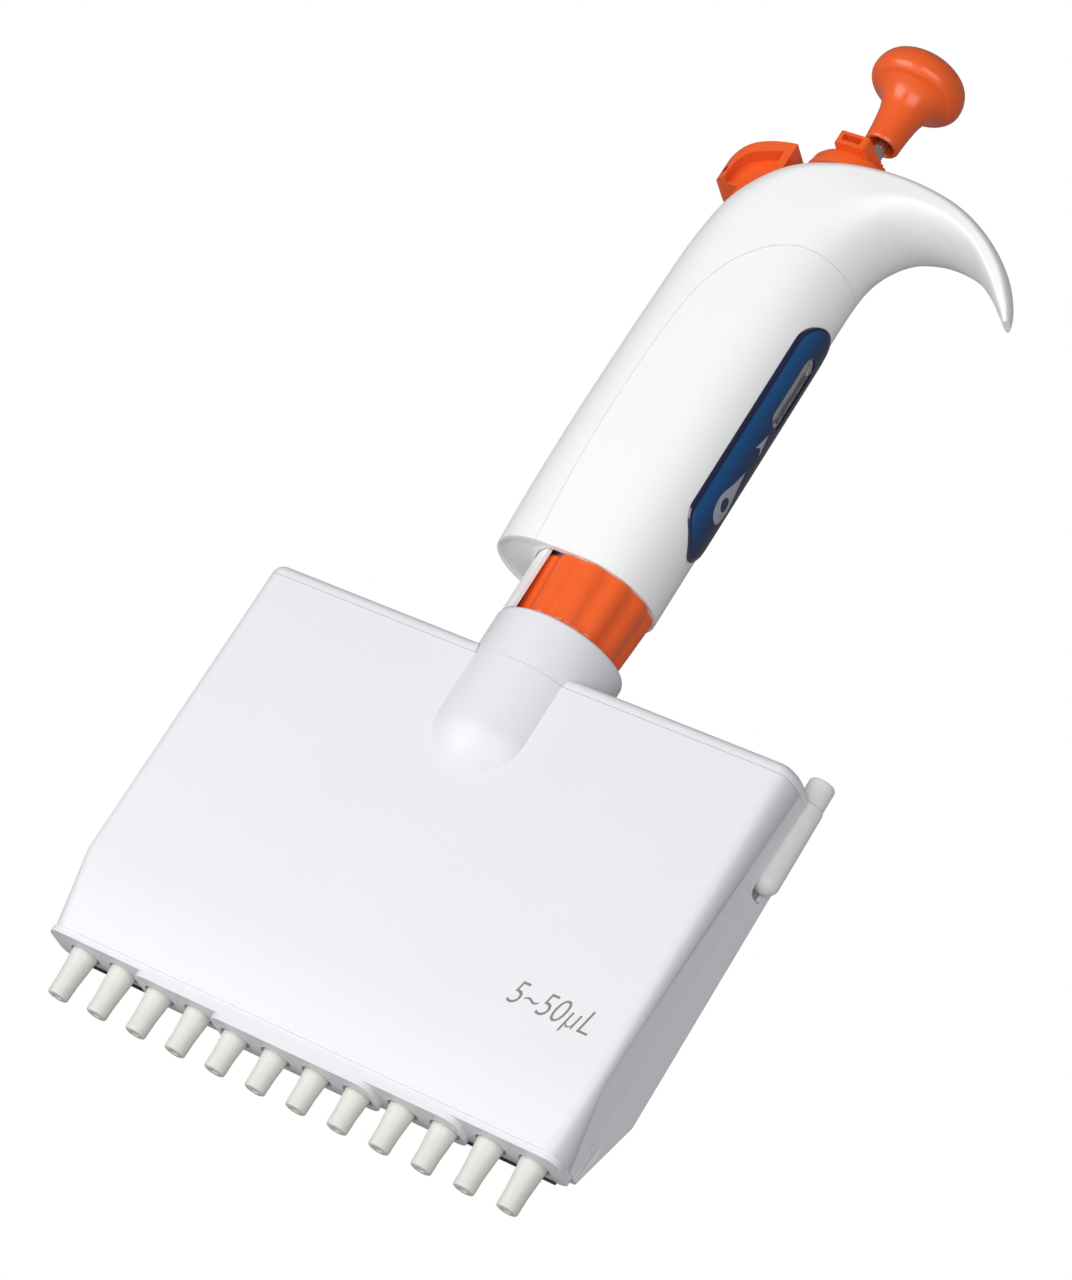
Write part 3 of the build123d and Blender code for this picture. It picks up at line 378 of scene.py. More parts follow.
# Label field: real blue paint; its run to near black across the label is painted reflection and shade.
BLUE_WITH_PAINTED_SHADE = PaintedShadeFinish(
    "label_paint", (0.0, 0.088, 0.27), (0.0, 0.078, 0.24), (0.34, 0.40), coat=0.15, metallic=0.1,
    shade_middle=(0.003, 0.026, 0.12), far=(0.001, 0.003, 0.02),
)
PRINT_GREY = Finish("print_ink", (0.40, 0.42, 0.48), (0.37, 0.39, 0.45), (0.4, 0.5))
INK_BROWN = Finish("capacity_ink", (0.26, 0.22, 0.20), (0.23, 0.20, 0.18), (0.45, 0.55))
DRUM = Finish("drum_plastic", (0.62, 0.58, 0.50), (0.58, 0.54, 0.46), (0.45, 0.55))
WINDOW = Finish("window_plastic", (0.96, 0.97, 0.98), (0.94, 0.95, 0.96), (0.05, 0.08), relief=0.0, clear=1.0)
STEEL = Finish("ground_steel", (0.66, 0.65, 0.63), (0.60, 0.59, 0.57), (0.2, 0.3), metallic=1.0)
WIRE = Finish("spring_wire", (0.52, 0.52, 0.52), (0.46, 0.46, 0.46), (0.25, 0.35), metallic=1.0)
SCREW = Finish("screw_steel", (0.50, 0.50, 0.51), (0.44, 0.44, 0.45), (0.3, 0.4), metallic=1.0)
ALLOY = Finish(
    "blasted_alloy", (0.66, 0.67, 0.69), (0.60, 0.61, 0.63), (0.45, 0.55), relief=0.1, metallic=0.9,
)
INNER = Finish("inner_moulding", (0.30, 0.31, 0.33), (0.27, 0.28, 0.30), (0.5, 0.6), relief=0.08)
PAPER = Finish("floor_paper", (0.86, 0.86, 0.86), (0.84, 0.84, 0.84), (0.8, 0.9))
# Dark rubber for the piston seals; also used for the painted shadow strip along the rear of the foot.
RUBBER_AND_PAINTED_SHADOW = Finish("seal_rubber", (0.035, 0.035, 0.035), (0.028, 0.028, 0.028), (0.6, 0.7), relief=0.1)

NODE_FINISH: dict[str, Finish] = {
    "cylinder_block": INNER, "seal_retainer": ALLOY, "head_frame": ALLOY, "swivel_connector": INNER,
    "chassis": INNER, "counter_frame": INNER, "rod_guide": INNER, "volume_sleeve": INNER,
    "counter_wheel_ones": DRUM, "counter_wheel_tens": DRUM, "counter_wheel_hundreds": DRUM,
    "display_window": WINDOW, "stripper_comb": HEAD_WHITE, "ejector_arm": HANDLE_WHITE,
    "plunger_rod": STEEL, "stop_collar": STEEL, "ejector_rod": STEEL, "push_rod": STEEL,
    "guide_rods": STEEL, "pistons": STEEL, "piston_bar": ALLOY, "blowout_washer": STEEL,
    "side_post_left": ALLOY, "side_post_right": ALLOY, "piston_seals": RUBBER_AND_PAINTED_SHADOW,
    "stroke_spring": WIRE, "blowout_spring": WIRE, "ejector_spring": WIRE, "piston_springs": WIRE,
    "side_spring_left": WIRE, "side_spring_right": WIRE, "retainer_screws": SCREW, "shell_screws": SCREW,
}


# The rounded slot over the volume counter, as the heights of its two end centres.
WINDOW_HIGH = 174.3
WINDOW_LOW = 162.2
WINDOW_HALF = 2.2


def window_slot(half: float, steps: int) -> bmesh.types.BMesh:
    """A cutter for the slot over the counter.

    Args:
        half: Half its width.
        steps: Steps round each end.

    Returns:
        The cutter, reaching through the nose of the grip.
    """
    slot = [*arc((0, WINDOW_HIGH), half, 0, 180, steps), *arc((0, WINDOW_LOW), half, 180, 360, steps)]
    return prism(slot, Plane.YZ, 5, 20)


@dataclass
class Piece:
    """One visible piece: where it rides, what it stands for and how its edges are finished."""

    name: str
    body: str
    slot: str
    finish: Finish
    stands_for: tuple[str, ...] = ()
    edge: float = 0.0
    edge_steps: int = 3
    edge_angle: float = 30.0
    sharp: float = 32.0
    level: bool = True

    def place(self, bm: bmesh.types.BMesh) -> bpy.types.Object:
        """Turn a mesh in millimetres into the piece.

        Args:
            bm: The mesh. It is used up.

        Returns:
            The finished object.
        """
        bmesh.ops.remove_doubles(bm, verts=bm.verts[:], dist=1e-4)
        bmesh.ops.scale(bm, vec=(MM, MM, MM), verts=bm.verts[:])
        for polygon in bm.faces:
            polygon.smooth = True
        limit = math.radians(self.sharp)
        for edge in bm.edges:
            edge.smooth = len(edge.link_faces) != 2 or edge.calc_face_angle(0.0) < limit
        mesh = bpy.data.meshes.new(self.name)
        bm.to_mesh(mesh)
        bm.free()
        obj = bpy.data.objects.new(self.name, mesh)
        bpy.context.scene.collection.objects.link(obj)
        mesh.materials.append(self.finish.material())
        if self.edge > 0:
            bevel = obj.modifiers.new("soft_edges", "BEVEL")
            bevel.width, bevel.segments = self.edge * MM, self.edge_steps
            bevel.limit_method, bevel.angle_limit = "ANGLE", math.radians(self.edge_angle)
            bevel.use_clamp_overlap = True
        if self.level:
            obj.modifiers.new("flat_faces", "WEIGHTED_NORMAL").keep_sharp = True
        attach(obj, self.body)
        if self.stands_for:
            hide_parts(*self.stands_for)
        LOG.info("%s rides on %s, %d faces", self.name, self.body, len(mesh.polygons))
        return obj


# ---------------------------------------------------------------- the grip
@dataclass(frozen=True)
class Station:
    """One cross-section of the grip, from its back point to its finger-side point, with its fullness."""

    back: Point
    front: Point
    half_y: float
    back_depth: float
    front_depth: float

    def values(self) -> list[float]:
        """All its numbers in one row."""
        return [*self.back, *self.front, self.half_y, self.back_depth, self.front_depth]


@dataclass
class Grip:
    """The grip with its finger hook: one loft that runs up the spine and over into the hook."""

    wall: float = 1.5
    seam_gap: float = 0.045
    around: int = 28
    per_span: int = 7
    nose: float = 12.5
    arm_reach: float = 13.45
    stations: list[Station] = field(default_factory=lambda: [
        Station((-22.2, 114.6), (12.5, 114.6), 12.5, 13.4, 12.5),
        Station((-22.9, 126.0), (12.5, 126.0), 12.5, 14.2, 12.5),
        Station((-23.4, 144.0), (12.5, 144.0), 12.5, 14.4, 12.5),
        Station((-23.4, 162.0), (12.5, 162.0), 12.5, 14.4, 12.5),
        Station((-23.2, 178.0), (12.5, 178.0), 12.5, 14.4, 12.5),
        Station((-22.6, 191.8), (12.5, 188.0), 12.5, 13.4, 12.4),
        Station((-20.0, 202.8), (12.6, 195.0), 12.5, 10.8, 11.6),
        Station((-13.0, 211.4), (13.1, 200.0), 12.4, 8.0, 9.6),
        Station((-3.0, 216.0), (14.6, 204.2), 12.0, 6.2, 7.4),
        Station((8.0, 218.1), (17.4, 207.4), 11.0, 5.0, 5.2),
        Station((18.0, 218.0), (21.6, 208.9), 9.9, 4.2, 3.4),
        Station((26.5, 216.0), (26.0, 209.0), 8.9, 3.4, 2.2),
        Station((33.8, 212.0), (31.2, 207.5), 7.4, 2.6, 1.5),
        Station((39.4, 206.9), (36.2, 203.9), 5.7, 2.0, 1.1),
        Station((43.0, 201.4), (40.4, 199.9), 3.8, 1.4, 0.8),
        Station((44.5, 197.4), (43.3, 196.9), 1.9, 0.7, 0.5),
    ])

    def ring(self, numbers: list[float]) -> list[tuple[float, float, float]]:
        """The points round one cross-section.

        Args:
            numbers: A station's numbers.

        Returns:
            The points in order.
        """
        back, front = Vector(numbers[0:2]), Vector(numbers[2:4])
        half, depth_back, depth_front = numbers[4:7]
        length = (front - back).length
        along = (front - back) / length
        depth_back, depth_front = min(depth_back, length * 0.6), min(depth_front, length * 0.4 + 6)
        if depth_back + depth_front > length:
            depth_front = length - depth_back
        points = []
        for k in range(2 * self.around + 2):
            late = k > self.around
            turn = math.pi * ((k - late) / self.around - 0.5)
            depth, origin = (depth_back, depth_back) if late else (depth_front, length - depth_front)
            at = back + along * (origin + depth * math.cos(turn))
            points.append((at[0], half * math.sin(turn), at[1]))
        return points

    def loft(self) -> bmesh.types.BMesh:
        """Skin the stations.

        Returns:
            The outside of the whole grip, closed.
        """
        rows = [s.values() for s in self.stations]
        lines = []
        ends = [rows[0], *rows, rows[-1]]
        for i in range(len(rows) - 1):
            p0, p1, p2, p3 = ends[i:i + 4]
            for k in range(self.per_span):
                t = k / self.per_span
                lines.append([
                    0.5 * (2 * b + (c - a) * t + (2 * a - 5 * b + 4 * c - d) * t * t
                           + (3 * b - a - 3 * c + d) * t ** 3)
                    for a, b, c, d in zip(p0, p1, p2, p3)
                ])
        lines.append(rows[-1])
        bm = bmesh.new()
        loops = []
        for line in lines:
            verts = [bm.verts.new(p) for p in self.ring(line)]
            loops.append([bm.edges.new(pair) for pair in zip(verts, [*verts[1:], verts[0]])])
        for low, high in zip(loops, loops[1:]):
            bmesh.ops.bridge_loops(bm, edges=low + high)
        bmesh.ops.edgeloop_fill(bm, edges=loops[0])
        bmesh.ops.edgeloop_fill(bm, edges=loops[-1])
        bmesh.ops.recalc_face_normals(bm, faces=bm.faces[:])
        return bm

    def plan(self, inset: float) -> list[Point]:
        """Plan of the hollow, a round nose and an elliptic spine."""
        reach, half = 14.4 - inset, self.nose - inset
        spine = [
            (-9.0 + reach * math.cos(a), half * math.sin(a))
            for a in (math.radians(90 + 180 * k / 32) for k in range(33))
        ]
        return arc((0, 0), half, -90, 90, 32) + spine

    def cover_outline(self, gap: float) -> list[Point]:
        """Side outline of the front cover, drawn in by a gap."""
        seam = curve([
            (-10.4, 114.6), (-12.2, 136.0), (-12.5, 155.0), (-11.5, 172.0),
            (-8.6, 182.5), (-3.6, 189.2), (2.6, 192.4), (8.0, 193.3),
        ], 8)
        moved = [(x + gap, z - gap) for x, z in seam]
        return [(moved[0][0], 110.0), *moved, (20.0, moved[-1][1]), (20.0, 110.0)]

    def hollowed(self) -> bmesh.types.BMesh:
        """The loft with its hollow, its wells and its button pocket cut out."""
        form = self.loft()
        form = carve(form, prism(self.plan(self.wall + 1.0), Plane.XY, 116.0, 194.0), Carve.TAKE)
        mouth = prism(self.plan(self.wall), Plane.XY, 110.0, 117.0)
        arm = lathe([(0, 105), (self.arm_reach, 105), (self.arm_reach, 125), (0, 125)], 96)
        form = carve(form, carve(mouth, arm, Carve.KEEP), Carve.TAKE)
        lobe = prism(self.plan(self.wall * 0.8), Plane.XY, 110.0, 115.4)
        inner = lathe([(0, 105), (self.arm_reach + 1.0, 105), (self.arm_reach + 1.0, 125), (0, 125)], 96)
        form = carve(form, carve(lobe, inner, Carve.TAKE), Carve.TAKE)
        form = carve(form, lathe([(0, 214.1), (10.6, 214.1), (10.6, 226), (0, 226)], 128), Carve.TAKE)
        form = carve(form, lathe([(0, 190), (6.0, 190), (6.0, 220), (0, 220)], 64), Carve.TAKE)
        plan = [(-12.0, 7.1), (-12.0, -7.1), *arc((-18.0, 0), 7.1, 270, 90, 32)]
        pocket = prism(plan, Plane.XY, 192.7, 230)
        pocket = carve(pocket, box((-21.3, -20, 190), (0, 20, 240)), Carve.KEEP)
        return carve(form, pocket, Carve.TAKE)

    def build(self) -> None:
        """Make the shell and the front cover, with the hairline seam between them."""
        keep = prism(self.cover_outline(self.seam_gap), Plane.XZ, -20, 20)
        take = prism(self.cover_outline(-self.seam_gap), Plane.XZ, -20, 20)
        cover = carve(self.hollowed(), keep, Carve.KEEP)
        cover = carve(cover, window_slot(WINDOW_HALF, 12), Carve.TAKE)
        shell = carve(self.hollowed(), take, Carve.TAKE)
        parts = (("grip_shell", "handle_shell", shell), ("grip_cover", "front_cover", cover))
        for name, stands_for, bm in parts:
            Piece(name, "handle", "handle_white", HANDLE_WHITE, (stands_for,), edge=0.25,
                  edge_angle=40, sharp=38).place(bm)


@dataclass
class Label:
    """The blue plate on the nose of the grip, its raised edge, arrow and drop mark."""

    half_y: float = 6.9
    bottom: float = 126.5
    top: float = 183.0
    taper: float = 133.5
    radius: float = 13.0
    rim: float = 0.75

    def outline(self, inset: float) -> list[Point]:
        """Outline of the plate in Y and Z, drawn in by an inset."""
        half = self.half_y - inset
        crown = arc((0, self.top - self.half_y), half, 0, 180, 32)
        tip = self.bottom + 1.3 * inset
        shoulders = [(-half, self.top - self.half_y), (-half, self.taper), (0.0, tip), (half, self.taper),
                     (half, self.top - self.half_y)]
        foot = []
        for before, at, after in zip(shoulders, shoulders[1:], shoulders[2:]):
            foot += rounded([before, at, after], 2.4)[7:14]
        return [*crown, *foot]

    def sleeve(self, inner: float, outer: float) -> bmesh.types.BMesh:
        """A tube about the plunger axis, tall enough for the label."""
        return lathe([(inner, 120), (outer, 120), (outer, 190), (inner, 190)], 192)

    def build(self) -> None:
        """Make the edge, the painted field and the marks."""
        whole, field_shape = (prism(self.outline(inset), Plane.YZ, 5, 20) for inset in (0, self.rim))
        edge = carve(self.sleeve(self.radius - 0.5, self.radius - 0.06), whole, Carve.KEEP)
        edge = carve(edge, window_slot(WINDOW_HALF, 16), Carve.TAKE)
        Piece("label_edge", "handle", "label_blue", NAVY, ("label_plate",), edge=0.3).place(edge)
        paint = carve(self.sleeve(self.radius - 0.12, self.radius), field_shape, Carve.KEEP)
        paint = carve(paint, window_slot(WINDOW_HALF + 0.1, 16), Carve.TAKE)
        Piece("label_paint", "handle", "label_blue", BLUE_WITH_PAINTED_SHADE, edge=0.05, edge_steps=2).place(paint)
        arrow = prism([(0, 158.2), (1.5, 153.9), (0, 155.0), (-1.5, 153.9)], Plane.YZ, 5, 20)
        drop = [(0, 149.0), *curve([(-1.2, 145.2), (-2.7, 141.4), (-2.1, 138.0), (0, 136.8), (2.1, 138.0),
                                    (2.7, 141.4), (1.2, 145.2)], 8)]
        hole = [*arc((0, 141.0), 1.5, 0, 360, 24)][:-1]
        mark = carve(prism(drop, Plane.YZ, 5, 20), prism(hole, Plane.YZ, 4, 21), Carve.TAKE)
        marks = carve(self.sleeve(self.radius - 0.04, self.radius + 0.02), joined(arrow, mark), Carve.KEEP)
        Piece("label_marks", "handle", "digit_white", PRINT_GREY, level=False).place(marks)


# ---------------------------------------------------------------- controls
@dataclass
class Controls:
    """The orange parts: plunger knob, lock lever, ejector button and lock nut."""

    knob_steps: int = 128
    lever_radius: float = 10.4
    button_half_y: float = 6.8
    ribs: int = 8
    rib_pitch: float = 1.05
    rib_r: float = 0.34
    flutes: int = 12
    flute_dip: float = 0.055
    flute_shape: float = 1.3

    def knob(self) -> None:
        """The mushroom knob with its hollow lower end."""
        outside = curve([
            (3.7, 227.9), (4.0, 232.0), (4.6, 236.0), (5.8, 238.6), (7.6, 240.2), (9.0, 240.95),
            (9.85, 242.4), (9.7, 244.6), (8.6, 246.6), (6.0, 248.2), (2.5, 248.9), (0.0, 249.0),
        ], 8)
        bore = [(0.0, 236.0), (2.55, 236.0), (2.65, 228.1), (2.95, 227.5), (3.45, 227.5)]
        Piece("knob_cap", "knob", "orange_plastic", ORANGE, ("knob",), sharp=45, level=False).place(
            lathe([*bore, *outside], self.knob_steps))

    def lever(self) -> None:
        """The round lock lever with its ribbed wing."""
        low, top, r = 214.2, 219.0, self.lever_radius
        disc = lathe([
            (5.0, low), (r, low), (r, 215.7), (r - 0.1, 216.0), (r - 0.6, 216.2), (r - 0.6, 216.5),
            (r - 0.25, 216.7), (r - 0.35, 217.4), (r - 0.8, 218.1), (r - 1.5, 218.7), (r - 2.4, top),
            (5.0, top),
        ], 128)
        wing = prism(rounded([(4.9, -1.5), (3.1, -11.2), (-3.4, -11.2), (-3.6, -5.5), (0.5, -4.2)], 0.7, 4),
                     Plane.XY, 218.3, 221.3)
        scoop = prism(rounded([(1.9, -12.5), (-2.4, -12.5), (-2.2, -9.4), (1.6, -8.6)], 0.5, 3),
                      Plane.XY, 219.1, 220.6)
        wing = carve(wing, scoop, Carve.TAKE)
        lean = Vector((4.9 - 3.1, -1.5 + 11.2)).normalized()
        ribs = []
        for k in range(self.ribs):
            along = 1.0 + self.rib_pitch * k
            groove = [(0, 218.0), (self.rib_r, 218.0), (self.rib_r, 222.0), (0, 222.0)]
            ribs.append(lathe(groove, 12, (3.1 + lean.x * along + 0.02, -11.2 + lean.y * along)))
        wing = carve(wing, joined(*ribs), Carve.TAKE)
        lever = carve(disc, wing, Carve.JOIN)
        Piece("lever_disc", "lock_lever", "orange_plastic", ORANGE, ("lock_lever",), edge=0.12,
              sharp=40).place(lever)

    def button(self) -> None:
        """The thumb button, scooped on both sides."""
        half = self.button_half_y
        crown = curve([(-25.0, 206.3), (-26.1, 207.2), (-26.3, 208.8), (-25.4, 211.2), (-22.6, 214.2),
                       (-18.4, 216.6), (-15.0, 217.6), (-12.3, 218.0)], 8)
        side = [*crown, (-12.3, 206.3)]
        body = prism(side, Plane.XZ, -half, half)
        plan = [(-12.3, half), (-12.3, -half), *arc((-19.6, 0), half, 270, 90, 40)]
        body = carve(body, prism(plan, Plane.XY, 200, 230), Carve.KEEP)
        inner = curve([(-22.9, 208.2), (-22.2, 210.6), (-19.8, 213.2), (-14.0, 215.6)], 6)
        hollow = [*inner, (-14.0, 200.0), (-22.9, 200.0)]
        cheek = 3.0
        for near, far in ((-half - 1, -half + cheek), (half - cheek, half + 1)):
            body = carve(body, prism(hollow, Plane.XZ, near, far), Carve.TAKE)
        body = carve(body, prism([*arc((-24.2, 208.6), 0.75, 0, 360, 20)][:-1], Plane.XZ, -8, 8), Carve.TAKE)
        plug = carve(box((-20.2, -4.2, 200.0), (-12.6, 4.2, 207.5)), lathe(
            [(0, 190), (1.5, 190), (1.5, 208), (0, 208)], 32, (-17.0, 0)), Carve.TAKE)
        Piece("thumb_button", "ejector", "orange_plastic", ORANGE, ("ejector_button",), edge=0.45,
              edge_steps=4, edge_angle=35).place(carve(body, plug, Carve.JOIN))

    def nut(self) -> None:
        """The fluted lock nut."""
        low, top = 101.4, 114.55
        count = self.flutes * 16
        levels = [(low, 10.9), (low + 0.25, 11.2), (low + 0.7, 11.38), (107.8, 11.75), (top - 0.6, 12.1),
                  (top - 0.15, 11.95), (top, 11.7)]
        bm = bmesh.new()
        loops = []
        for z, radius in levels:
            ring = bmesh.ops.create_circle(bm, cap_ends=False, radius=radius, segments=count)["verts"]
            for vert in ring:
                turn = math.atan2(vert.co.y, vert.co.x)
                dip = (0.5 + 0.5 * math.cos(self.flutes * turn)) ** self.flute_shape
                shrink = 1 - self.flute_dip * dip
                vert.co = (vert.co.x * shrink, vert.co.y * shrink, z)
            loops.append(list({e for v in ring for e in v.link_edges}))
        for below, above in zip(loops, loops[1:]):
            bmesh.ops.bridge_loops(bm, edges=below + above)
        bmesh.ops.edgeloop_fill(bm, edges=loops[0])
        bmesh.ops.edgeloop_fill(bm, edges=loops[-1])
        bmesh.ops.recalc_face_normals(bm, faces=bm.faces[:])
        bore = lathe([(0, 100), (8.15, 100), (8.15, 103.3), (9.95, 103.3), (9.95, 116), (0, 116)], 96)
        Piece("fluted_nut", "lock_nut", "orange_plastic", ORANGE, ("lock_nut",), sharp=40).place(
            carve(bm, bore, Carve.TAKE))

    def build(self) -> None:
        """Make all four."""
        self.knob()
        self.lever()
        self.button()
        self.nut()


# ---------------------------------------------------------------- the head
@dataclass
class Head:
    """The flat head: front panel with its dome, rear shell with the top rail, collar, tubes and nozzles."""

    half_x: float = 58.6
    foot_half_x: float = 56.4
    front_y: float = -9.6
    rear_y: float = 8.9
    foot_front_y: float = -6.8
    foot_rear_y: float = 4.9
    bottom: float = 10.6
    crease: float = 25.2
    seam: float = 90.1
    top: float = 92.7
    wall: float = 1.6
    rounding: tuple[float, float] = (6.5, 1.2)
    inner_rounding: tuple[float, float] = (4.6, 0.6)
    rail_round: float = 1.9
    flute_r: float = 2.7
    flute_out: float = 1.7
    flute_y: float = 3.1
    bay_r: float = 2.92
    parting_y: float = 1.0
    collar_r: float = 13.5
    dome_z: float = 76.8
    gap: float = 0.04
    stretch: float = 1.6
    lean: float = 0.15
    pitch: float = 9.0
    channels: int = 12
    tube: Point = (57.9, 4.0)

    def block(self, inset: float, front_round: float, rear_round: float, low: float,
              high: float) -> bmesh.types.BMesh:
        """The tapered form of the head.

        Args:
            inset: How far it is drawn in, for the hollow.
            front_round: Radius of the front upright corners.
            rear_round: Radius of the rear upright corners.
            low: Lower face.
            high: Upper face.

        Returns:
            The closed form.
        """
        front, rear = self.front_y + inset, self.rear_y - inset
        side = [(front, high), (front, self.crease), (self.foot_front_y + inset, self.bottom),
                (self.foot_front_y + inset, low), (self.foot_rear_y - inset, low),
                (self.foot_rear_y - inset, self.bottom), (rear, self.crease), (rear, high)]
        if low >= self.bottom:
            side = [p for p in side if p[1] >= self.bottom]
            side = list(dict.fromkeys(side))
        half, foot = self.half_x - inset, self.foot_half_x - inset
        bm = prism(side, Plane.YZ, -half, half)
        for vert in bm.verts:
            if vert.co.z < self.crease - 1:
                vert.co.x *= foot / half
        bmesh.ops.scale(bm, vec=(self.stretch, 1, 1), verts=bm.verts[:])
        upright = [e for e in bm.edges if abs((e.verts[0].co - e.verts[1].co).z) > 5]
        for at_front, radius in ((True, front_round), (False, rear_round)):
            chosen = [e for e in upright if e.is_valid and (sum(v.co.y for v in e.verts) < 0) == at_front]
            bmesh.ops.bevel(bm, geom=chosen, offset=radius, offset_type="OFFSET",
                            segments=14 if at_front else 4, profile=0.5, affect="EDGES", material=-1)
            upright = [e for e in upright if e.is_valid]
            if at_front:
                bmesh.ops.scale(bm, vec=(1 / self.stretch, 1, 1), verts=bm.verts[:])
        bmesh.ops.recalc_face_normals(bm, faces=bm.faces[:])
        return bm

    def dome(self, radius: float, high: float) -> bmesh.types.BMesh:
        """The bulge that leads the neck into the head."""
        bowl = arc((0, self.dome_z), radius, -90, 0, 32)
        bowl[0] = (0.0, bowl[0][1])
        return lathe([*bowl, (radius, high), (0, high)], 128)

    def shells(self) -> bmesh.types.BMesh:
        """Both shells as one hollow body, before they are parted."""
        form = self.block(0, *self.rounding, self.bottom, self.top)
        rail = [e for e in form.edges if all(abs(v.co.z - self.top) < 1e-3 for v in e.verts)]
        bmesh.ops.bevel(form, geom=rail, offset=self.rail_round, offset_type="OFFSET", segments=7,
                        profile=0.5, affect="EDGES", material=-1)
        form = carve(form, self.dome(self.collar_r, self.seam + 0.5), Carve.JOIN)
        room = self.block(self.wall, *self.inner_rounding, self.bottom - 2, self.top - self.wall)
        form = carve(form, room, Carve.TAKE)
        form = carve(form, self.dome(self.collar_r - self.wall, self.top), Carve.TAKE)
        for side in (-1, 1):
            x, y = side * self.tube[0], self.tube[1]
            bay = lathe([(0, 71.4), (1.6, 71.4), (2.7, 72.4), (self.bay_r, 73.6), (self.bay_r, 95), (0, 95)],
                        48, (x, y))
            form = carve(form, bay, Carve.TAKE)
            flute = lathe([(0, 11.5), (1.9, 12.5), (2.25, 16.0), (self.flute_r, self.crease),
                           (self.flute_r, 67.2), (2.1, 68.3), (0, 68.6)], 64,
                          (side * (self.half_x + self.flute_out), self.flute_y))
            for vert in flute.verts:
                vert.co.x -= side * self.lean * max(0.0, self.crease - vert.co.z)
            form = carve(form, flute, Carve.TAKE)
            form = carve(form, ball(1.0, (side * (self.half_x + 0.1), 1.9, 69.3)), Carve.TAKE)
        return form

    def build_shells(self) -> None:
        """Part the body into the front panel and the rear shell."""
        gap, edge = self.gap, 70.0
        kept = box((-edge, -30, 0), (edge, self.parting_y - gap, self.seam - gap))
        front = carve(self.shells(), kept, Carve.KEEP)
        cleared = box((-edge, -30, 0), (edge, self.parting_y + gap, self.seam + gap))
        rear = carve(self.shells(), cleared, Carve.TAKE)
        low, reach = self.seam - gap, self.collar_r + 0.12
        around = lathe([(0, low), (reach, low), (reach, 99), (0, 99)], 128)
        rear = carve(rear, around, Carve.TAKE)
        for name, stands_for, bm in (("head_front", "front_shell", front), ("head_rear", "rear_shell", rear)):
            Piece(name, "ejector_shell", "head_white", HEAD_WHITE, (stands_for,), edge=0.25,
                  edge_angle=24, sharp=40).place(bm)

    def build_collar(self) -> None:
        """The ring on top of the head, round the neck."""
        r, low = self.collar_r, self.seam + self.gap
        ring = lathe([(r - self.wall, low), (r - 0.1, low), (r, low + 0.1), (r, 100.2), (r - 0.2, 100.7),
                      (r - 0.75, 101.0), (8.25, 101.0), (8.25, 99.0), (r - self.wall, 99.0)], 128)
        Piece("collar_ring", "ejector_shell", "head_white", HEAD_WHITE, ("ejector_collar",),
              sharp=40).place(ring)

    def build_tubes(self) -> None:
        """The half-sunk spring tubes and their caps."""
        for side, end in ((-1, "left"), (1, "right")):
            centre = (side * self.tube[0], self.tube[1])
            foot = arc((0, 75.3), 2.8, -90, 0, 12)
            foot[0] = (0.0, foot[0][1])
            lower = [(p, 73.0 + (z - 72.5) * 0.82) for p, z in foot]
            tube = [*lower, (2.8, 91.6), (2.65, 91.75), (2.0, 91.75), (2.0, 75.4), (0, 75.4)]
            cap = [(0, 91.85), (2.45, 91.85), (2.6, 92.0), (2.6, 96.5), (2.4, 96.85), (2.0, 97.0), (0, 97.0)]
            for part, profile in (("tube", tube), ("cap", cap)):
                Piece(f"spring_{part}_{end}", "ejector_shell", "head_white", TUBE_GREY,
                      (f"side_{part}_{end}",), sharp=40).place(lathe(profile, 64, centre))

    def build_foot_shadow_strip(self) -> None:
        """Painted shadow: a dark strip along the rear of the foot, behind the nozzles, where there is only
        shade.
        """
        half = self.foot_half_x - 3.5
        strip = prism([(-half, 3.9), (half, 3.9), (half, 4.75), (-half, 4.75)], Plane.XY, 9.0, self.bottom)
        Piece("foot_shadow_strip", "ejector_shell", "seal_rubber", RUBBER_AND_PAINTED_SHADOW, edge=0.15, edge_steps=2).place(strip)

    def build_nozzles(self) -> None:
        """The nozzles, each turned with its bore."""
        profile = [(0.75, 0.25), (0.95, 0.0), (1.75, 0.0), (2.0, 0.12), (2.1, 0.4), (2.13, 3.4), (2.62, 9.5),
                   (2.85, 12.0), (2.85, 14.0), (2.5, 14.0), (2.5, 20.0), (0.75, 20.0)]
        for k in range(self.channels):
            x = (k - (self.channels - 1) / 2) * self.pitch
            name = f"nozzle_{k + 1:02d}"
            Piece(f"turned_{name}", "head", "nozzle_ivory", IVORY, (name,), sharp=40).place(
                lathe(profile, 48, (x, 0)))

    def build_capacity(self) -> None:
        """The plain volume range printed low on the front panel."""
        text = bpy.data.curves.new("capacity", "FONT")
        text.offset = -0.06 * MM
        text.body, text.size, text.shear, text.extrude = "5~50µL", 6.9 * MM, 0.3, 0.03 * MM
        held = bpy.data.objects.new("capacity", text)
        bpy.context.scene.collection.objects.link(held)
        bpy.context.view_layer.update()
        mesh = bpy.data.meshes.new_from_object(held.evaluated_get(bpy.context.evaluated_depsgraph_get()))
        bpy.data.objects.remove(held)
        bm = bmesh.new()
        bm.from_mesh(mesh)
        bpy.data.meshes.remove(mesh)
        bmesh.ops.scale(bm, vec=(1 / MM, 1 / MM, 1 / MM), verts=bm.verts[:])
        bmesh.ops.scale(bm, vec=(0.80, 1.0, 1.0), verts=bm.verts[:])
        bmesh.ops.rotate(bm, matrix=Matrix.Rotation(math.pi / 2, 3, "X"), cent=(0, 0, 0), verts=bm.verts[:])
        bmesh.ops.translate(bm, vec=(32.6, self.front_y + 0.015, 31.2), verts=bm.verts[:])
        Piece("capacity_print", "ejector_shell", "digit_white", INK_BROWN, level=False).place(bm)

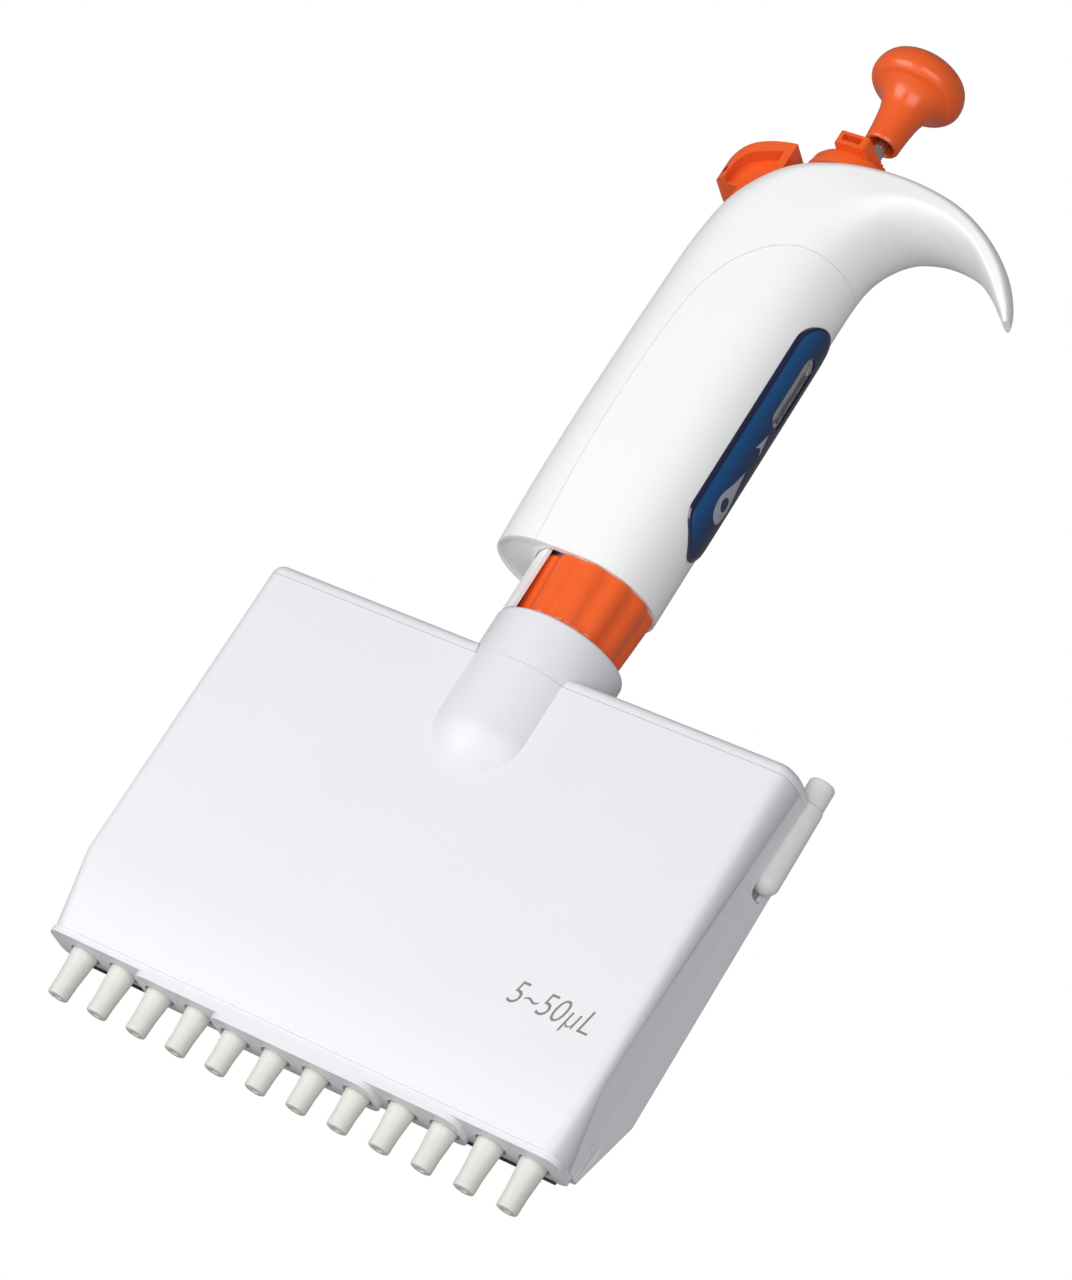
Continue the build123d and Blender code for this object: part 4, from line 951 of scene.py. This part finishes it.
    def build(self) -> None:
        """Make every outer piece of the head."""
        self.build_shells()
        self.build_collar()
        self.build_tubes()
        self.build_foot_shadow_strip()
        self.build_nozzles()
        self.build_capacity()


# ---------------------------------------------------------------- studio
@dataclass
class Studio:
    """Camera, lights, floor and background."""

    place: tuple[float, float, float] = (0.313633, -0.579415, -0.152448)
    turn: tuple[float, float, float] = (114.4615, -30.2172, 15.9538)
    lens: float = 106.6935
    floor_z: float = -0.42
    target: tuple[float, float, float] = (0.0, 0.0, 0.12)

    def camera(self) -> bpy.types.Object:
        """The camera, set as the scene's."""
        data = bpy.data.cameras.new("camera")
        data.lens, data.sensor_width, data.sensor_fit = self.lens, 36.0, "AUTO"
        data.clip_start, data.clip_end = 0.01, 20.0
        cam = bpy.data.objects.new("camera", data)
        cam.location = self.place
        cam.rotation_euler = [math.radians(a) for a in self.turn]
        bpy.context.scene.collection.objects.link(cam)
        bpy.context.scene.camera = cam
        bpy.context.view_layer.update()
        return cam

    def light(self, cam: bpy.types.Object, name: str, across: float, up: float, back: float,
              size: float, power: float) -> None:
        """A soft square light, placed by the camera's axes.

        Args:
            cam: The camera.
            name: Name of the light.
            across: Metres to the right of the object.
            up: Metres above it in the picture.
            back: Metres towards the camera.
            size: Side of the square.
            power: Watts.
        """
        data = bpy.data.lights.new(name, "AREA")
        data.shape, data.size, data.energy = "SQUARE", size, power
        lamp = bpy.data.objects.new(name, data)
        axes = cam.matrix_world.to_3x3()
        offset = axes @ Vector((across, up, back))
        lamp.location = Vector(self.target) + offset
        lamp.rotation_euler = (-offset).to_track_quat("-Z", "Y").to_euler()
        bpy.context.scene.collection.objects.link(lamp)

    def backdrop(self) -> None:
        """White all round, dimmer as a light than it looks."""
        world = bpy.data.worlds.new("studio")
        world.use_nodes = True
        nodes, links = world.node_tree.nodes, world.node_tree.links
        shown, glow = nodes["Background"], nodes.new("ShaderNodeBackground")
        path, mix = nodes.new("ShaderNodeLightPath"), nodes.new("ShaderNodeMixShader")
        shown.inputs["Color"].default_value, shown.inputs["Strength"].default_value = (1, 1, 1, 1), 1.0
        glow.inputs["Color"].default_value, glow.inputs["Strength"].default_value = (0.98, 0.985, 1, 1), 0.22
        links.new(path.outputs["Is Camera Ray"], mix.inputs["Fac"])
        links.new(glow.outputs["Background"], mix.inputs[1])
        links.new(shown.outputs["Background"], mix.inputs[2])
        links.new(mix.outputs["Shader"], nodes["World Output"].inputs["Surface"])
        bpy.context.scene.world = world

    def floor(self) -> None:
        """A plain pale floor, well below the object."""
        bm = bmesh.new()
        bmesh.ops.create_grid(bm, x_segments=1, y_segments=1, size=3.0)
        bmesh.ops.translate(bm, vec=(0, 0, self.floor_z), verts=bm.verts[:])
        mesh = bpy.data.meshes.new("floor")
        bm.to_mesh(mesh)
        bm.free()
        floor = bpy.data.objects.new("floor", mesh)
        mesh.materials.append(PAPER.material())
        bpy.context.scene.collection.objects.link(floor)

    def build(self) -> None:
        """Set the whole studio up."""
        cam = self.camera()
        self.light(cam, "key", -0.75, 0.35, 0.55, 0.7, 7.0)
        self.light(cam, "fill", 0.12, -0.05, 1.1, 0.9, 8.4)
        self.backdrop()
        self.floor()
        bpy.context.scene.view_settings.view_transform = "Standard"
        bpy.context.scene.view_settings.look = "None"


def dress_frame() -> None:
    """Give the CAD nodes that stay in sight their finishes."""
    for name, finish in NODE_FINISH.items():
        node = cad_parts[name]
        if not node.material_slots:
            node.data.materials.append(None)
        for place in node.material_slots:
            place.material = finish.material()
        LOG.info("%s keeps its CAD mesh", name)


def main() -> None:
    """Build the visual model round the frame."""
    logging.basicConfig(level=logging.INFO, format="%(message)s")
    dress_frame()
    Grip().build()
    Label().build()
    Controls().build()
    Head().build()
    Studio().build()


if __name__ == "__main__":
    main()
